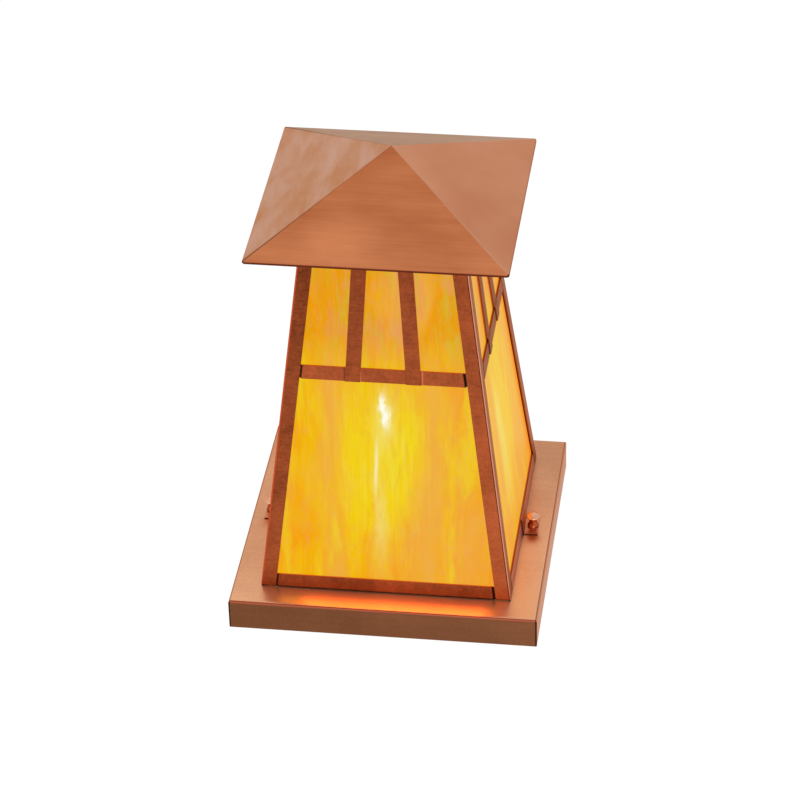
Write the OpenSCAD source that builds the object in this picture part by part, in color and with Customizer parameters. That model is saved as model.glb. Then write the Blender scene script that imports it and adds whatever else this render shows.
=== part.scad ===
// Square copper pier lantern: a flared lantern with a pyramid roof and art glass,
// standing on a shallow folded base pan and held down by two thumb screws.
// Millimetres. Z points up, and the origin is the centre of the base pan's underside.

/* [Base pan] */
// Width of the pan's ledge outside the lantern's foot
ledge_w = 24.5; // [22:0.5:40]
// Height of the base pan
base_h = 28; // [26:0.5:34]
// Thickness of the pan's copper sheet
pan_t = 1; // [0.8:0.1:1.4]
// Outside radius of the pan's folded top edges
pan_bend_r = 3; // [2:0.1:4]
// Size of the open notch down each corner, where two folded sides meet
seam_notch = 0.7; // [0.4:0.1:0.7]
// Height of the edge folded back inside the pan's foot
hem_h = 6; // [4:0.5:9]
// Outside radius of the fold along the pan's foot
hem_bend_r = 0.6; // [0.3:0.1:0.8]

/* [Lantern frame] */
// Width of the lantern at its foot, over the corner posts
body_w = 215; // [190:1:240]
// Lean of each side from upright, in degrees
lean = 7; // [5.5:0.5:7.5]
// Height of the roof's fold line above the base pan
eave_h = 328; // [315:1:340]
// Width of the corner posts' legs, the rails and the bars
strip_w = 12.7; // [11:0.1:14]
// Thickness of the frame's copper strip
strip_t = 1; // [0.8:0.1:1.2]
// Outside radius of the fold along each corner post
post_bend_r = 1.6; // [1.5:0.1:2]
// Outside radius of the fold along each foot rail
rail_bend_r = 1.6; // [1.5:0.1:2.4]
// Gap under the corner posts' feet
post_lift = 0.8; // [0.2:0.1:1]
// Open joint at the ends of the rails and the middle bars
joint_gap = 1.2; // [0.6:0.1:1.6]
// Thickness of the punched sheet behind the strips
panel_t = 1; // [0.8:0.1:1.2]
// How far the punched windows stand back from the strips' edges
window_back = 0.4; // [0.2:0.1:1]
// Depth of the rails' flanges that turn inwards
flange_d = 12; // [9:0.5:14]

/* [Bars] */
// Height of the middle bar's lower edge up the slope of a side
mid_bar_at = 201.5; // [180:0.5:215]
// Distance of an upright bar from the middle of its side, at the middle bar
bar_foot_x = 25.6; // [23:0.1:28]
// Distance of an upright bar from the middle of its side, at the top rail
bar_head_x = 17.2; // [15:0.1:20]
// Length of the slope where an upright bar steps over the middle bar
joggle_l = 1.5; // [1:0.1:3]
// Rise of the straight lap above the middle bar's upper edge
lap_over = 1.4; // [1:0.1:3]

/* [Glass] */
// Thickness of the art glass
glass_t = 3; // [2.5:0.1:3.5]
// Distance of a pane's edge inside the corner of the frame
glass_inset = 6.2; // [6:0.1:7]
// Thickness of the clips that hold the glass
clip_t = 0.6; // [0.4:0.1:0.8]
// Length of a clip along the pane's edge
clip_l = 10; // [8:0.5:12]
// Reach of a clip over the glass
clip_reach = 8; // [5:0.5:10]

/* [Roof] */
// How far the roof reaches out past the lantern's foot
roof_over = 0.5; // [0:0.5:12]
// Pitch of the roof in degrees
roof_pitch = 25; // [22:0.5:28]
// Thickness of the roof's copper sheet
roof_t = 1; // [0.8:0.1:1.2]
// Depth of the turned-down lip below the fold line
lip_h = 2.5; // [2.2:0.1:6]
// Outside radius of the fold at the eave
eave_bend_r = 1.4; // [1.3:0.1:2]
// Size of the cut at each corner of the eave
eave_notch = 1.8; // [1:0.1:3]

/* [Thumb screws] */
// Distance of a thumb screw's axis outside the lantern's foot
screw_out = 7.8; // [7:0.1:8.5]
// Diameter of the knob's head
knob_head_d = 11.8; // [10:0.1:12.4]
// Thickness of the knob's oval head
knob_head_t = 3.8; // [3:0.1:4.5]
// Height of the knob from its foot to the top of its head
knob_h = 12; // [11:0.1:13.5]
// Diameter of the knob's foot
knob_foot_d = 9.6; // [8.6:0.1:10]
// Height over which the neck spreads into the foot
knob_flare_h = 5; // [3:0.1:6]
// Diameter of the knob's neck
knob_neck_d = 6.4; // [5.8:0.1:7]
// Diameter of the threaded shank
shank_d = 4.8; // [4.2:0.1:5.2]
// Length of the shank below the knob's foot
shank_l = 14; // [12:0.5:18]
// Diameter of the shank's spigot, which is pressed into the knob
spigot_d = 3.6; // [3:0.1:4]
// Length of the spigot
spigot_l = 7; // [5:0.5:9]
// Width of a fixing tab along the lantern's side
tab_w = 25; // [20:0.5:30]
// Height of a fixing tab's upright leg
tab_h = 15.8; // [14:0.1:18]
// Reach of a fixing tab's foot over the base pan
tab_d = 12.9; // [12:0.1:14]
// Thickness of a fixing tab
tab_t = 1.2; // [1:0.1:1.5]
// Outside radius of a fixing tab's fold
tab_bend_r = 1.8; // [1.6:0.1:2.2]

/* [Mounting hardware] */
// Length of the steel cross bar
crossbar_l = 112; // [108:1:125]
// Width of the cross bar
crossbar_w = 24; // [22:1:30]
// Thickness of the cross bar
crossbar_t = 2.4; // [2:0.1:3]
// Height of the cross bar above the pier
crossbar_z = 1; // [0.5:0.1:2]
// Distance between the middles of the two mounting slots
slot_spacing = 88.9; // [85:0.1:92]
// End-to-end length of a mounting slot
slot_l = 15; // [10:0.5:16]
// Width of a mounting slot
slot_w = 5.2; // [4.6:0.1:6]
// Outside diameter of the threaded nipple
nipple_d = 10.2; // [9.6:0.1:10.6]
// Diameter of the wire way through the nipple
nipple_bore_d = 6.8; // [6:0.1:7.4]
// Across-flats size of the nipple's lock nuts
nut_af = 15.9; // [14.5:0.1:17]
// Thickness of a lock nut
nut_t = 3.2; // [2.6:0.1:4]
// Diameter of the flat washers on the nipple
washer_d = 19; // [18:0.5:22]
// Thickness of a flat washer
washer_t = 1.2; // [0.8:0.1:1.6]

/* [Lampholder] */
// Outside diameter of the porcelain lampholder
holder_d = 40; // [38:0.5:44]
// Height of the porcelain lampholder
holder_h = 37; // [35:0.5:42]
// Height of the lampholder's bracket
bracket_h = 12; // [10.5:0.5:16]
// Thickness of the bracket's steel
bracket_t = 1.6; // [1.2:0.1:2]
// Width of the bracket
bracket_w = 16; // [14:0.5:18]
// Diameter of the lamp's screw cap
cap_d = 26.2; // [26:0.1:26.4]
// Length of the screw cap
cap_l = 20; // [18:0.5:23]
// Thickness of the metal of the cap and of the lampholder's shell
cap_t = 0.5; // [0.4:0.05:0.7]
// Diameter of the lamp's bulb
bulb_d = 60; // [55:1:66]
// Height of the lamp from its contact to the top of its bulb
bulb_l = 109; // [104:1:118]
// Thickness of the bulb's glass
bulb_wall = 0.9; // [0.7:0.1:1.2]

/* [Fits] */
// Radial clearance of a running fit
running_gap = 0.05; // [0.02:0.01:0.1]
// Radial clearance of a loose hole round a fixed piece
loose_gap = 0.3; // [0.1:0.05:0.6]
// Radial clearance between the lamp's cap and the screw shell
cap_gap = 0.3; // [0.2:0.05:0.4]

/* [Hidden] */
$fn = 48;

COPPER_ROOF = [0.74, 0.47, 0.34];
COPPER_FRAME = [0.58, 0.29, 0.17];
COPPER_BASE = [0.84, 0.58, 0.43];
COPPER_SHEET = [0.45, 0.24, 0.15];
ZINC = [0.72, 0.73, 0.75];
BRASS = [0.80, 0.65, 0.35];
PORCELAIN = [0.93, 0.92, 0.88];
GLASS = [0.96, 0.72, 0.22];

ARC_STEPS = 6;
// Room that is more than any piece needs, for trimming shapes
AMPLE = 600;

// Widths and places that follow the lantern's foot
base_w = body_w + 2 * ledge_w;
roof_w = body_w + 2 * roof_over;
screw_x = body_w / 2 + screw_out;

// Quarter turn of each side, and of each corner, going round from the front
function side_turn(i) = 90 * i;

// Point at radius r and angle a round the point c
function polar(c, r, a) = c + r * [cos(a), sin(a)];

// Points of an arc from angle a0 to a1
function arc(c, r, a0, a1) = [for (i = [0:ARC_STEPS]) polar(c, r, a0 + (a1 - a0) * i / ARC_STEPS)];

// Half width of the lantern at distance s up the slope of a side, and at height z
function half_at(s) = body_w / 2 - s * sin(lean);
function half_at_z(z) = body_w / 2 - (z - base_h) * tan(lean);

// Width of a post's leg, measured level across a side
leg_w = strip_w * sqrt(1 + pow(sin(lean), 2));
// Half width of the opening between the posts
function open_at(s) = half_at(s) - leg_w;
// Outline of a side between two heights up the slope, drawn in by a level distance
function side_outline(s0, s1, inset) = [
    [-half_at(s0) + inset, s0], [half_at(s0) - inset, s0],
    [half_at(s1) - inset, s1], [-half_at(s1) + inset, s1]];

// Depths behind the outer face of a side
panel_depth = strip_t + panel_t;
glass_depth = panel_depth + glass_t;
// Lowest point up the slope at which a sheet of some depth clears the foot rail's flange
function foot_clear(depth) = (strip_t + depth * sin(lean)) / cos(lean);
// Distance from the foot rail's corner to the end of its rounded fold, along either leg
fold_run = rail_bend_r * (1 + sin(lean)) / cos(lean);

// The roof's fold line, its apex, and its underside at a level distance from the middle
eave_z = base_h + eave_h;
apex_z = eave_z + roof_w / 2 * tan(roof_pitch);
function under_roof(r) = apex_z - r * tan(roof_pitch) - roof_t / cos(roof_pitch);
// Height at which a side's outer face meets the roof's underside
wall_top_z = (under_roof(body_w / 2) - base_h * tan(lean) * tan(roof_pitch))
    / (1 - tan(lean) * tan(roof_pitch));
wall_top_r = half_at_z(wall_top_z);
wall_top_s = (wall_top_z - base_h) / cos(lean);
top_rail_at = wall_top_s - strip_w;
// The punched sheets and the panes stop short of the roof by this much
roof_clear = 4;
sheet_top_z = wall_top_z - roof_clear;
sheet_top_s = (sheet_top_z - base_h) / cos(lean);

// Fold lines of a post: half the angle between two sides, and the lean of the corner
corner_half = (90 + asin(pow(sin(lean), 2))) / 2;
corner_lean = atan(sqrt(2) * tan(lean));

mid_bar_top = mid_bar_at + strip_w;
bar_flare = atan((bar_foot_x - bar_head_x) / (top_rail_at - mid_bar_at));
function bar_x(s) = bar_foot_x - (s - mid_bar_at) * tan(bar_flare);
// Width of a flared bar, measured level
bar_level_w = strip_w / cos(bar_flare);

// Heights of the stack on the nipple
collar_h = 1.6;
collar_top = crossbar_z + crossbar_t + collar_h;
pan_under = base_h - pan_t;
pan_nut_z = base_h + washer_t;
bracket_z = pan_nut_z + nut_t;
bracket_nut_z = bracket_z + bracket_t;
nipple_top = bracket_nut_z + nut_t + 1.5;
washer_hole_d = nipple_d + 2 * loose_gap;
LOCK_NUT_Z = [collar_top, pan_under - washer_t - nut_t, pan_nut_z, bracket_nut_z];
WASHER_Z = [pan_under - washer_t, base_h];

// The bracket is a channel wide enough for a lock nut, with feet turned outwards
bracket_in = nut_af / cos(30) + 2;
bracket_foot = 8;
holder_z = bracket_z + bracket_h;
holder_screw_x = bracket_in / 2 + bracket_t + bracket_foot / 2;
holder_screw_d = 3.5;
holder_screw_l = 7;

// The lampholder's well, its screw shell and the lamp standing in it
contact_leaf_t = 0.6;
contact_rise = 4;
contact_touch = 0.2;
well_floor_h = 11;
well_z = holder_z + well_floor_h;
lamp_z = well_z + contact_rise + contact_leaf_t + contact_touch;
lamp_tip_h = 1.2;
insulator_h = 3.6;
cap_z = lamp_z + lamp_tip_h + insulator_h;
cap_top = cap_z + cap_l;
shell_r = cap_d / 2 + cap_gap;
well_r = shell_r + cap_t + loose_gap;
bulb_r = bulb_d / 2;
bulb_centre_z = lamp_z + bulb_l - bulb_r;
neck_r = cap_d / 2 - cap_t - 0.4;
clinch_r = 4.8;
clinch_h = 8;
clinch_pilot_r = 3.5;

// Turned frames. A side's own frame has X across, Y up the slope and Z outwards
module on_side(i)
    rotate([0, 0, side_turn(i)])
        translate([0, -body_w / 2, base_h])
            rotate([90 - lean, 0, 0])
                children();

// A sheet on a side: a flat outline from one depth behind the outer face to another
module side_sheet(i, depth_in, depth_out)
    on_side(i)
        translate([0, 0, -depth_in])
            linear_extrude(depth_in - depth_out)
                children();

// A profile of distance from the middle and height, drawn out along a side
module along_side(i, length)
    rotate([0, 0, side_turn(i)])
        translate([-length / 2, 0, 0])
            rotate([90, 0, 90])
                linear_extrude(length)
                    mirror([1, 0])
                        children();

// The part of a shape that lies between two heights
module between_heights(z0, z1)
    intersection() {
        translate([-AMPLE / 2, -AMPLE / 2, z0])
            cube([AMPLE, AMPLE, z1 - z0]);
        children();
    }

// The pan's outline from one side, with its upper and lower edges rounded
function pan_profile(w, h, top_r, foot_r) = concat(
    arc([-w / 2 + foot_r, foot_r], foot_r, 180, 270),
    arc([w / 2 - foot_r, foot_r], foot_r, -90, 0),
    arc([w / 2 - top_r, h - top_r], top_r, 0, 90),
    arc([-w / 2 + top_r, h - top_r], top_r, 90, 180));

// A square block with rounded upper and lower edges
module pan_block(w, h, top_r, foot_r)
    intersection() {
        translate([-w / 2, 0, 0])
            rotate([90, 0, 90])
                linear_extrude(w)
                    polygon(pan_profile(w, h, top_r, foot_r));
        translate([0, w / 2, 0])
            rotate([90, 0, 0])
                linear_extrude(w)
                    polygon(pan_profile(w, h, top_r, foot_r));
    }

// The hollow inside the pan, narrower where the edge is folded back
module pan_hollow()
    union() {
        between_heights(hem_h, base_h)
            pan_block(base_w - 2 * pan_t, base_h - pan_t, pan_bend_r - pan_t, hem_bend_r);
        translate([0, 0, -1])
            linear_extrude(hem_h + 2)
                square(base_w - 4 * pan_t, center = true);
    }

module base_pan() color(COPPER_BASE)
    difference() {
        pan_block(base_w, base_h, pan_bend_r, hem_bend_r);
        pan_hollow();
        for (sx = [-1, 1], sy = [-1, 1])
            translate([sx * base_w / 2, sy * base_w / 2, -1])
                linear_extrude(base_h - pan_bend_r + 1)
                    square(2 * seam_notch, center = true);
        cylinder(h = AMPLE, d = nipple_d + 2 * loose_gap);
        for (sx = [-1, 1])
            translate([sx * screw_x, 0, 0])
                cylinder(h = AMPLE, r = clinch_pilot_r + running_gap);
    }

// A slot with round ends, lying along X
module slot_shape(length, width)
    union() {
        square([length - width, width], center = true);
        for (sx = [-1, 1])
            translate([sx * (length - width) / 2, 0])
                circle(d = width);
    }

ground_x = 24;
ground_screw_d = 4.8;
module crossbar() color(ZINC)
    difference() {
        union() {
            translate([0, 0, crossbar_z])
                linear_extrude(crossbar_t)
                    slot_shape(crossbar_l, crossbar_w);
            translate([0, 0, crossbar_z])
                cylinder(h = crossbar_t + collar_h, d = nipple_d + 5);
        }
        cylinder(h = AMPLE, d = nipple_d + 2 * running_gap);
        for (sx = [-1, 1])
            translate([sx * slot_spacing / 2, 0, 0])
                linear_extrude(AMPLE)
                    slot_shape(slot_l, slot_w);
        translate([ground_x, 0, 0])
            cylinder(h = AMPLE, d = ground_screw_d + 2 * running_gap);
    }

// A hex flange screw for the earth wire, standing in the cross bar
module ground_screw() color([0.12, 0.45, 0.22])
    translate([ground_x, 0, crossbar_z + crossbar_t])
        difference() {
            union() {
                cylinder(h = 1, d = 9.5);
                cylinder(h = 3.6, d = 7.6, $fn = 6);
                translate([0, 0, -crossbar_t])
                    cylinder(h = crossbar_t + 1, d = ground_screw_d);
            }
            translate([0, 0, 3])
                linear_extrude(AMPLE)
                    square([AMPLE, 1.2], center = true);
        }

module nipple() color(ZINC)
    translate([0, 0, crossbar_z])
        difference() {
            cylinder(h = nipple_top - crossbar_z, d = nipple_d);
            cylinder(h = AMPLE, d = nipple_bore_d, center = true);
        }

// A hex nut that runs on a thread of diameter d
module hex_nut(af, height, d)
    difference() {
        intersection() {
            cylinder(h = height, d = af / cos(30), $fn = 6);
            cylinder(h = height, d1 = af * 1.12, d2 = af * 1.04, $fn = 48);
        }
        cylinder(h = 3 * height, d = d + 2 * running_gap, center = true);
    }

module lock_nuts() color(ZINC)
    for (z = LOCK_NUT_Z)
        translate([0, 0, z])
            hex_nut(nut_af, nut_t, nipple_d);

module flat_washers() color(ZINC)
    for (z = WASHER_Z)
        translate([0, 0, z])
            difference() {
                cylinder(h = washer_t, d = washer_d);
                cylinder(h = 3 * washer_t, d = washer_hole_d, center = true);
            }

// Round nuts clinched in the pan, which take the thumb screws
module clinch_nuts() color(ZINC)
    for (sx = [-1, 1])
        translate([sx * screw_x, 0, pan_under - clinch_h])
            difference() {
                union() {
                    cylinder(h = clinch_h, r = clinch_r);
                    cylinder(h = clinch_h + pan_t, r = clinch_pilot_r);
                }
                cylinder(h = AMPLE, d = shank_d + 2 * running_gap, center = true);
            }

// Channel bracket of bent strip: a floor on the nipple, two legs and two feet
module holder_bracket() color(ZINC)
    translate([0, 0, bracket_z])
        difference() {
            translate([0, bracket_w / 2, 0])
                rotate([90, 0, 0])
                    linear_extrude(bracket_w)
                        for (sx = [0, 1])
                            mirror([sx, 0])
                                polygon([
                                    [0, 0],
                                    [bracket_in / 2 + bracket_t, 0],
                                    [bracket_in / 2 + bracket_t, bracket_h - bracket_t],
                                    [bracket_in / 2 + bracket_t + bracket_foot, bracket_h - bracket_t],
                                    [bracket_in / 2 + bracket_t + bracket_foot, bracket_h],
                                    [bracket_in / 2, bracket_h],
                                    [bracket_in / 2, bracket_t],
                                    [0, bracket_t]]);
            cylinder(h = 3 * bracket_t, d = nipple_d + 2 * running_gap, center = true);
            for (sx = [-1, 1])
                translate([sx * holder_screw_x, 0, 0])
                    cylinder(h = AMPLE, d = holder_screw_d + 2 * running_gap);
        }

// Pan-head screws from below, through the bracket's feet into the porcelain
module holder_screws() color(ZINC)
    for (sx = [-1, 1])
        translate([sx * holder_screw_x, 0, holder_z - bracket_t])
            difference() {
                union() {
                    cylinder(h = holder_screw_l, d = holder_screw_d);
                    translate([0, 0, -2])
                        cylinder(h = 2, d1 = 5, d2 = 6);
                }
                translate([0, 0, -2 - AMPLE + 0.9])
                    linear_extrude(AMPLE)
                        square([AMPLE, 1], center = true);
            }

rivet_d = 3;
rivet_recess_d = 8;
rivet_recess_h = 4;
terminal_z = holder_z + 5;
terminal_recess_w = 11;
terminal_recess_h = 9.4;
terminal_floor = 13;
module holder_body() color(PORCELAIN)
    difference() {
        translate([0, 0, holder_z])
            rotate_extrude()
                polygon([
                    [0, 0], [holder_d / 2 - 1.5, 0], [holder_d / 2, 1.5],
                    [holder_d / 2, 14], [holder_d / 2 - 1.2, 16],
                    [holder_d / 2 - 1.2, holder_h - 2], [holder_d / 2 - 3, holder_h], [0, holder_h]]);
        translate([0, 0, well_z])
            cylinder(h = AMPLE, r = well_r);
        for (sx = [-1, 1])
            translate([sx * holder_screw_x, 0, holder_z - 1])
                cylinder(h = holder_screw_l - bracket_t + 1.5, d = holder_screw_d + 2 * running_gap);
        for (sy = [0, 1])
            mirror([0, sy])
                translate([-terminal_recess_w / 2, terminal_floor, holder_z - 1])
                    cube([terminal_recess_w, AMPLE, terminal_recess_h + 1]);
        cylinder(h = well_z + 1, d = rivet_d + 2 * running_gap);
        translate([0, 0, holder_z - 1])
            cylinder(h = rivet_recess_h + 1, d = rivet_recess_d);
    }

// Plain drawn shell with an inturned foot, standing in the porcelain well
shell_foot_r = 9;
module screw_shell() color(BRASS)
    translate([0, 0, well_z])
        rotate_extrude()
            polygon([
                [shell_foot_r, 0], [shell_r + cap_t, 0], [shell_r + cap_t, holder_h - well_floor_h - 1.5],
                [shell_r, holder_h - well_floor_h - 1.5], [shell_r, cap_t], [shell_foot_r, cap_t]]);

// A leaf spring folded up under the lamp's contact, on the well's floor
contact_leaf_w = 6;
leaf_foot_x = 6;
leaf_bend_x = 5;
module centre_contact() color(BRASS)
    translate([0, contact_leaf_w / 2, well_z])
        rotate([90, 0, 0])
            linear_extrude(contact_leaf_w)
                polygon([
                    [-leaf_foot_x, 0], [leaf_bend_x, 0], [leaf_bend_x + 1, contact_rise / 2],
                    [leaf_bend_x, contact_rise + contact_leaf_t],
                    [-leaf_foot_x / 2, contact_rise + contact_leaf_t],
                    [-leaf_foot_x / 2, contact_rise], [leaf_bend_x - 0.6, contact_rise],
                    [leaf_bend_x + 0.3, contact_rise / 2], [leaf_bend_x - 0.6, contact_leaf_t],
                    [-leaf_foot_x, contact_leaf_t]]);

// The rivet that holds the leaf down and carries current to it
module contact_rivet() color(BRASS)
    difference() {
        union() {
            translate([0, 0, holder_z + rivet_recess_h - 1])
                cylinder(h = well_z - holder_z - rivet_recess_h + 1, d = rivet_d);
            translate([0, 0, holder_z + rivet_recess_h - 1])
                cylinder(h = 1, d = 6);
        }
        translate([0, 0, holder_z])
            cylinder(h = rivet_recess_h + 2, d = 1.6);
    }

// Binding screws in the two recesses at the lampholder's foot
module terminal_screws() color(BRASS)
    for (turn = [0, 180])
        rotate([0, 0, turn])
            translate([0, -terminal_floor, terminal_z])
                rotate([90, 0, 0])
                    difference() {
                        union() {
                            cylinder(h = 2, d = 4);
                            translate([0, 0, 2])
                                cylinder(h = 2.2, d1 = 7.6, d2 = 7);
                        }
                        translate([0, 0, 3.4])
                            linear_extrude(AMPLE)
                                square([AMPLE, 1.1], center = true);
                    }

// An angle's cross-section, square to the corner, with its fold at the origin.
// The legs run back on either side of the -X axis
module angle_section() {
    bend_x = -post_bend_r / sin(corner_half);
    leg_start = post_bend_r / tan(corner_half);
    for (hand = [-1, 1])
        rotate(180 - hand * corner_half)
            translate([leg_start, hand > 0 ? 0 : -strip_t])
                square([strip_w - leg_start, strip_t]);
    intersection() {
        translate([bend_x, 0])
            difference() {
                circle(r = post_bend_r);
                circle(r = post_bend_r - strip_t);
            }
        polygon([
            [bend_x, 0],
            polar([bend_x, 0], 3 * post_bend_r, 90 - corner_half + 0.001),
            [3 * post_bend_r, 0],
            polar([bend_x, 0], 3 * post_bend_r, corner_half - 90 - 0.001)]);
    }
}

module post(i) color(COPPER_FRAME)
    between_heights(base_h + post_lift, wall_top_z)
        rotate([0, 0, side_turn(i) - 45])
            translate([body_w / sqrt(2), 0, base_h])
                rotate([0, -corner_lean, 0])
                    translate([0, 0, -20])
                        linear_extrude(AMPLE)
                            angle_section();

// The space between the posts, less a joint at each end, at any depth
module between_posts(i)
    on_side(i)
        translate([0, 0, -AMPLE / 4])
            linear_extrude(AMPLE / 2)
                polygon(side_outline(-20, wall_top_s + 20, leg_w + joint_gap));

// The quarter of the plan that belongs to a side, out to a distance r
module side_quarter(i, r)
    rotate([0, 0, side_turn(i)])
        linear_extrude(AMPLE)
            polygon([[0, 0], [-r, -r], [r, -r]]);

// Foot rail: an angle whose upright leg leans with the side. Its flange goes on
// behind the posts, to a mitre at each corner
module foot_rail(i) color(COPPER_FRAME) {
    leg_h = strip_w * cos(lean);
    r0 = body_w / 2;
    step = strip_t / cos(lean);
    bend = [r0 - fold_run, base_h + rail_bend_r];
    union() {
        intersection() {
            along_side(i, body_w)
                polygon(concat(
                    arc(bend, rail_bend_r, -90, lean),
                    [[r0 - leg_h * tan(lean), base_h + leg_h], [r0 - leg_h * tan(lean) - step, base_h + leg_h]],
                    arc(bend, rail_bend_r - strip_t, lean, -90),
                    [[r0 - flange_d, base_h + strip_t], [r0 - flange_d, base_h]]));
            between_posts(i);
        }
        intersection() {
            along_side(i, body_w)
                polygon([
                    [bend[0], base_h], [bend[0], base_h + strip_t],
                    [r0 - flange_d, base_h + strip_t], [r0 - flange_d, base_h]]);
            side_quarter(i, r0);
        }
    }
}

module mid_bar(i) color(COPPER_FRAME)
    side_sheet(i, strip_t, 0)
        polygon(side_outline(mid_bar_at, mid_bar_top, leg_w + joint_gap));

// Two upright bars: each is flat on the side, then steps out over the middle bar
module bars(i) color(COPPER_FRAME) {
    lap = strip_w + lap_over;
    long = top_rail_at - mid_bar_at + 40;
    on_side(i)
        intersection() {
            translate([-AMPLE / 2, mid_bar_at, -AMPLE / 2])
                cube([AMPLE, top_rail_at - joint_gap - mid_bar_at, AMPLE]);
            for (hand = [-1, 1])
                translate([hand * bar_foot_x, mid_bar_at, 0])
                    rotate([0, 0, hand * bar_flare])
                        translate([-strip_w / 2, 0, 0])
                            rotate([90, 0, 90])
                                linear_extrude(strip_w)
                                    polygon([
                                        [-20, 0], [lap, 0], [lap + joggle_l, -strip_t], [long, -strip_t],
                                        [long, 0], [lap + joggle_l, 0], [lap, strip_t], [-20, strip_t]]);
        }
}

// Top rail: an angle whose inner flange lies against the roof
module top_rail(i) color(COPPER_FRAME) {
    leg_h = strip_w * cos(lean);
    r0 = wall_top_r;
    r1 = r0 - flange_d;
    drop = strip_t / cos(roof_pitch);
    step = strip_t / cos(lean);
    r_leg = r0 + leg_h * tan(lean);
    // Where the inside of the upright leg meets the underside of the flange
    slope_sum = 1 - tan(lean) * tan(roof_pitch);
    inner_z = wall_top_z + (step * tan(roof_pitch) - drop) / slope_sum;
    intersection() {
        along_side(i, body_w)
            polygon([
                [r0, wall_top_z], [r_leg, wall_top_z - leg_h], [r_leg - step, wall_top_z - leg_h],
                [r0 - step + (wall_top_z - inner_z) * tan(lean), inner_z],
                [r1, under_roof(r1) - drop], [r1, under_roof(r1)]]);
        between_posts(i);
    }
}

// Outline of a window between two bars or posts, slightly larger than what shows
function window(s0, s1, left0, right0, left1, right1) = [
    [left0 - window_back, s0 - window_back], [right0 + window_back, s0 - window_back],
    [right1 + window_back, s1 + window_back], [left1 - window_back, s1 + window_back]];

// Punched sheet behind the strips: one tall window, and three above the middle bar
module panel(i) color(COPPER_SHEET)
    side_sheet(i, panel_depth, strip_t)
        difference() {
            polygon(side_outline(max(foot_clear(panel_depth), fold_run + running_gap), sheet_top_s,
                panel_depth + loose_gap));
            polygon(window(strip_w, mid_bar_at,
                -open_at(strip_w), open_at(strip_w), -open_at(mid_bar_at), open_at(mid_bar_at)));
            polygon(window(mid_bar_top, top_rail_at,
                -bar_x(mid_bar_top) + bar_level_w / 2, bar_x(mid_bar_top) - bar_level_w / 2,
                -bar_x(top_rail_at) + bar_level_w / 2, bar_x(top_rail_at) - bar_level_w / 2));
            for (hand = [0, 1])
                mirror([hand, 0])
                    polygon(window(mid_bar_top, top_rail_at,
                        bar_x(mid_bar_top) + bar_level_w / 2, open_at(mid_bar_top),
                        bar_x(top_rail_at) + bar_level_w / 2, open_at(top_rail_at)));
        }

module glass(i) color(GLASS, 0.85)
    side_sheet(i, glass_depth, panel_depth)
        polygon(side_outline(foot_clear(glass_depth), sheet_top_s, glass_inset));

// A bent clip beside a pane's edge: foot on the punched sheet, riser, and lip over the glass
clip_foot = 3.4;
module clip()
    translate([0, clip_l / 2, 0])
        rotate([90, 0, 0])
            linear_extrude(clip_l)
                polygon([
                    [clip_foot, -panel_depth], [0.1, -panel_depth], [0.1, -glass_depth],
                    [-clip_reach, -glass_depth], [-clip_reach, -glass_depth - clip_t],
                    [0.1 + clip_t, -glass_depth - clip_t], [0.1 + clip_t, -panel_depth - clip_t],
                    [clip_foot, -panel_depth - clip_t]]);

// Clips stand at different heights on neighbouring sides, so that they pass each other
clip_low = 40;
clip_high = 290;
clip_stagger = 22;
module glass_clips() color(COPPER_SHEET)
    for (i = [0:3], s = [clip_low, clip_high], hand = [0, 1])
        on_side(i)
            mirror([hand, 0, 0])
                translate([half_at(s + i % 2 * clip_stagger) - glass_inset, s + i % 2 * clip_stagger, 0])
                    rotate([0, 0, atan(sin(lean))])
                        clip();

// Roof sheet in profile: the slope, its rounded fold and the turned-down lip
function roof_profile() =
    let (
        r = roof_w / 2,
        bend = [r - eave_bend_r, eave_z - eave_bend_r * tan((90 - roof_pitch) / 2)],
        inner_r = eave_bend_r - roof_t)
    concat(
        [[0, apex_z]],
        arc(bend, eave_bend_r, 90 - roof_pitch, 0),
        [[r, eave_z - lip_h], [r - roof_t, eave_z - lip_h]],
        arc(bend, inner_r, 0, 90 - roof_pitch),
        [[0, apex_z - roof_t / cos(roof_pitch)]]);

module roof(i) color(COPPER_ROOF)
    intersection() {
        along_side(i, roof_w)
            polygon(roof_profile());
        rotate([0, 0, side_turn(i)])
            linear_extrude(AMPLE)
                polygon([
                    [0, 0],
                    [-roof_w / 2 + eave_notch / 2, -roof_w / 2 + eave_notch / 2],
                    [-roof_w / 2 + eave_notch, -roof_w / 2],
                    [roof_w / 2 - eave_notch, -roof_w / 2],
                    [roof_w / 2 - eave_notch / 2, -roof_w / 2 + eave_notch / 2]]);
    }

// Fixing tab: an angle soldered to the foot rail, with a hole for the thumb screw
module tab(sx) color(COPPER_BASE) {
    r0 = body_w / 2;
    // The upright leg leans back with the rail
    back = tab_h * tan(lean);
    step = tab_t / cos(lean);
    bend = [r0 - tab_bend_r * tan(lean) + tab_bend_r / cos(lean), tab_bend_r];
    translate([0, tab_w / 2, base_h])
        rotate([90, 0, 0])
            mirror([sx > 0 ? 0 : 1, 0])
                difference() {
                    linear_extrude(tab_w)
                        polygon(concat(
                            arc(bend, tab_bend_r, 180 + lean, 270),
                            [[r0 + tab_d, 0], [r0 + tab_d, tab_t]],
                            arc(bend, tab_bend_r - tab_t, 270, 180 + lean),
                            [[r0 + step - back, tab_h], [r0 - back, tab_h]]));
                    translate([screw_x, 0, tab_w / 2])
                        rotate([90, 0, 0])
                            cylinder(h = AMPLE, d = shank_d + 2 * loose_gap, center = true);
                }
}

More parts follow.
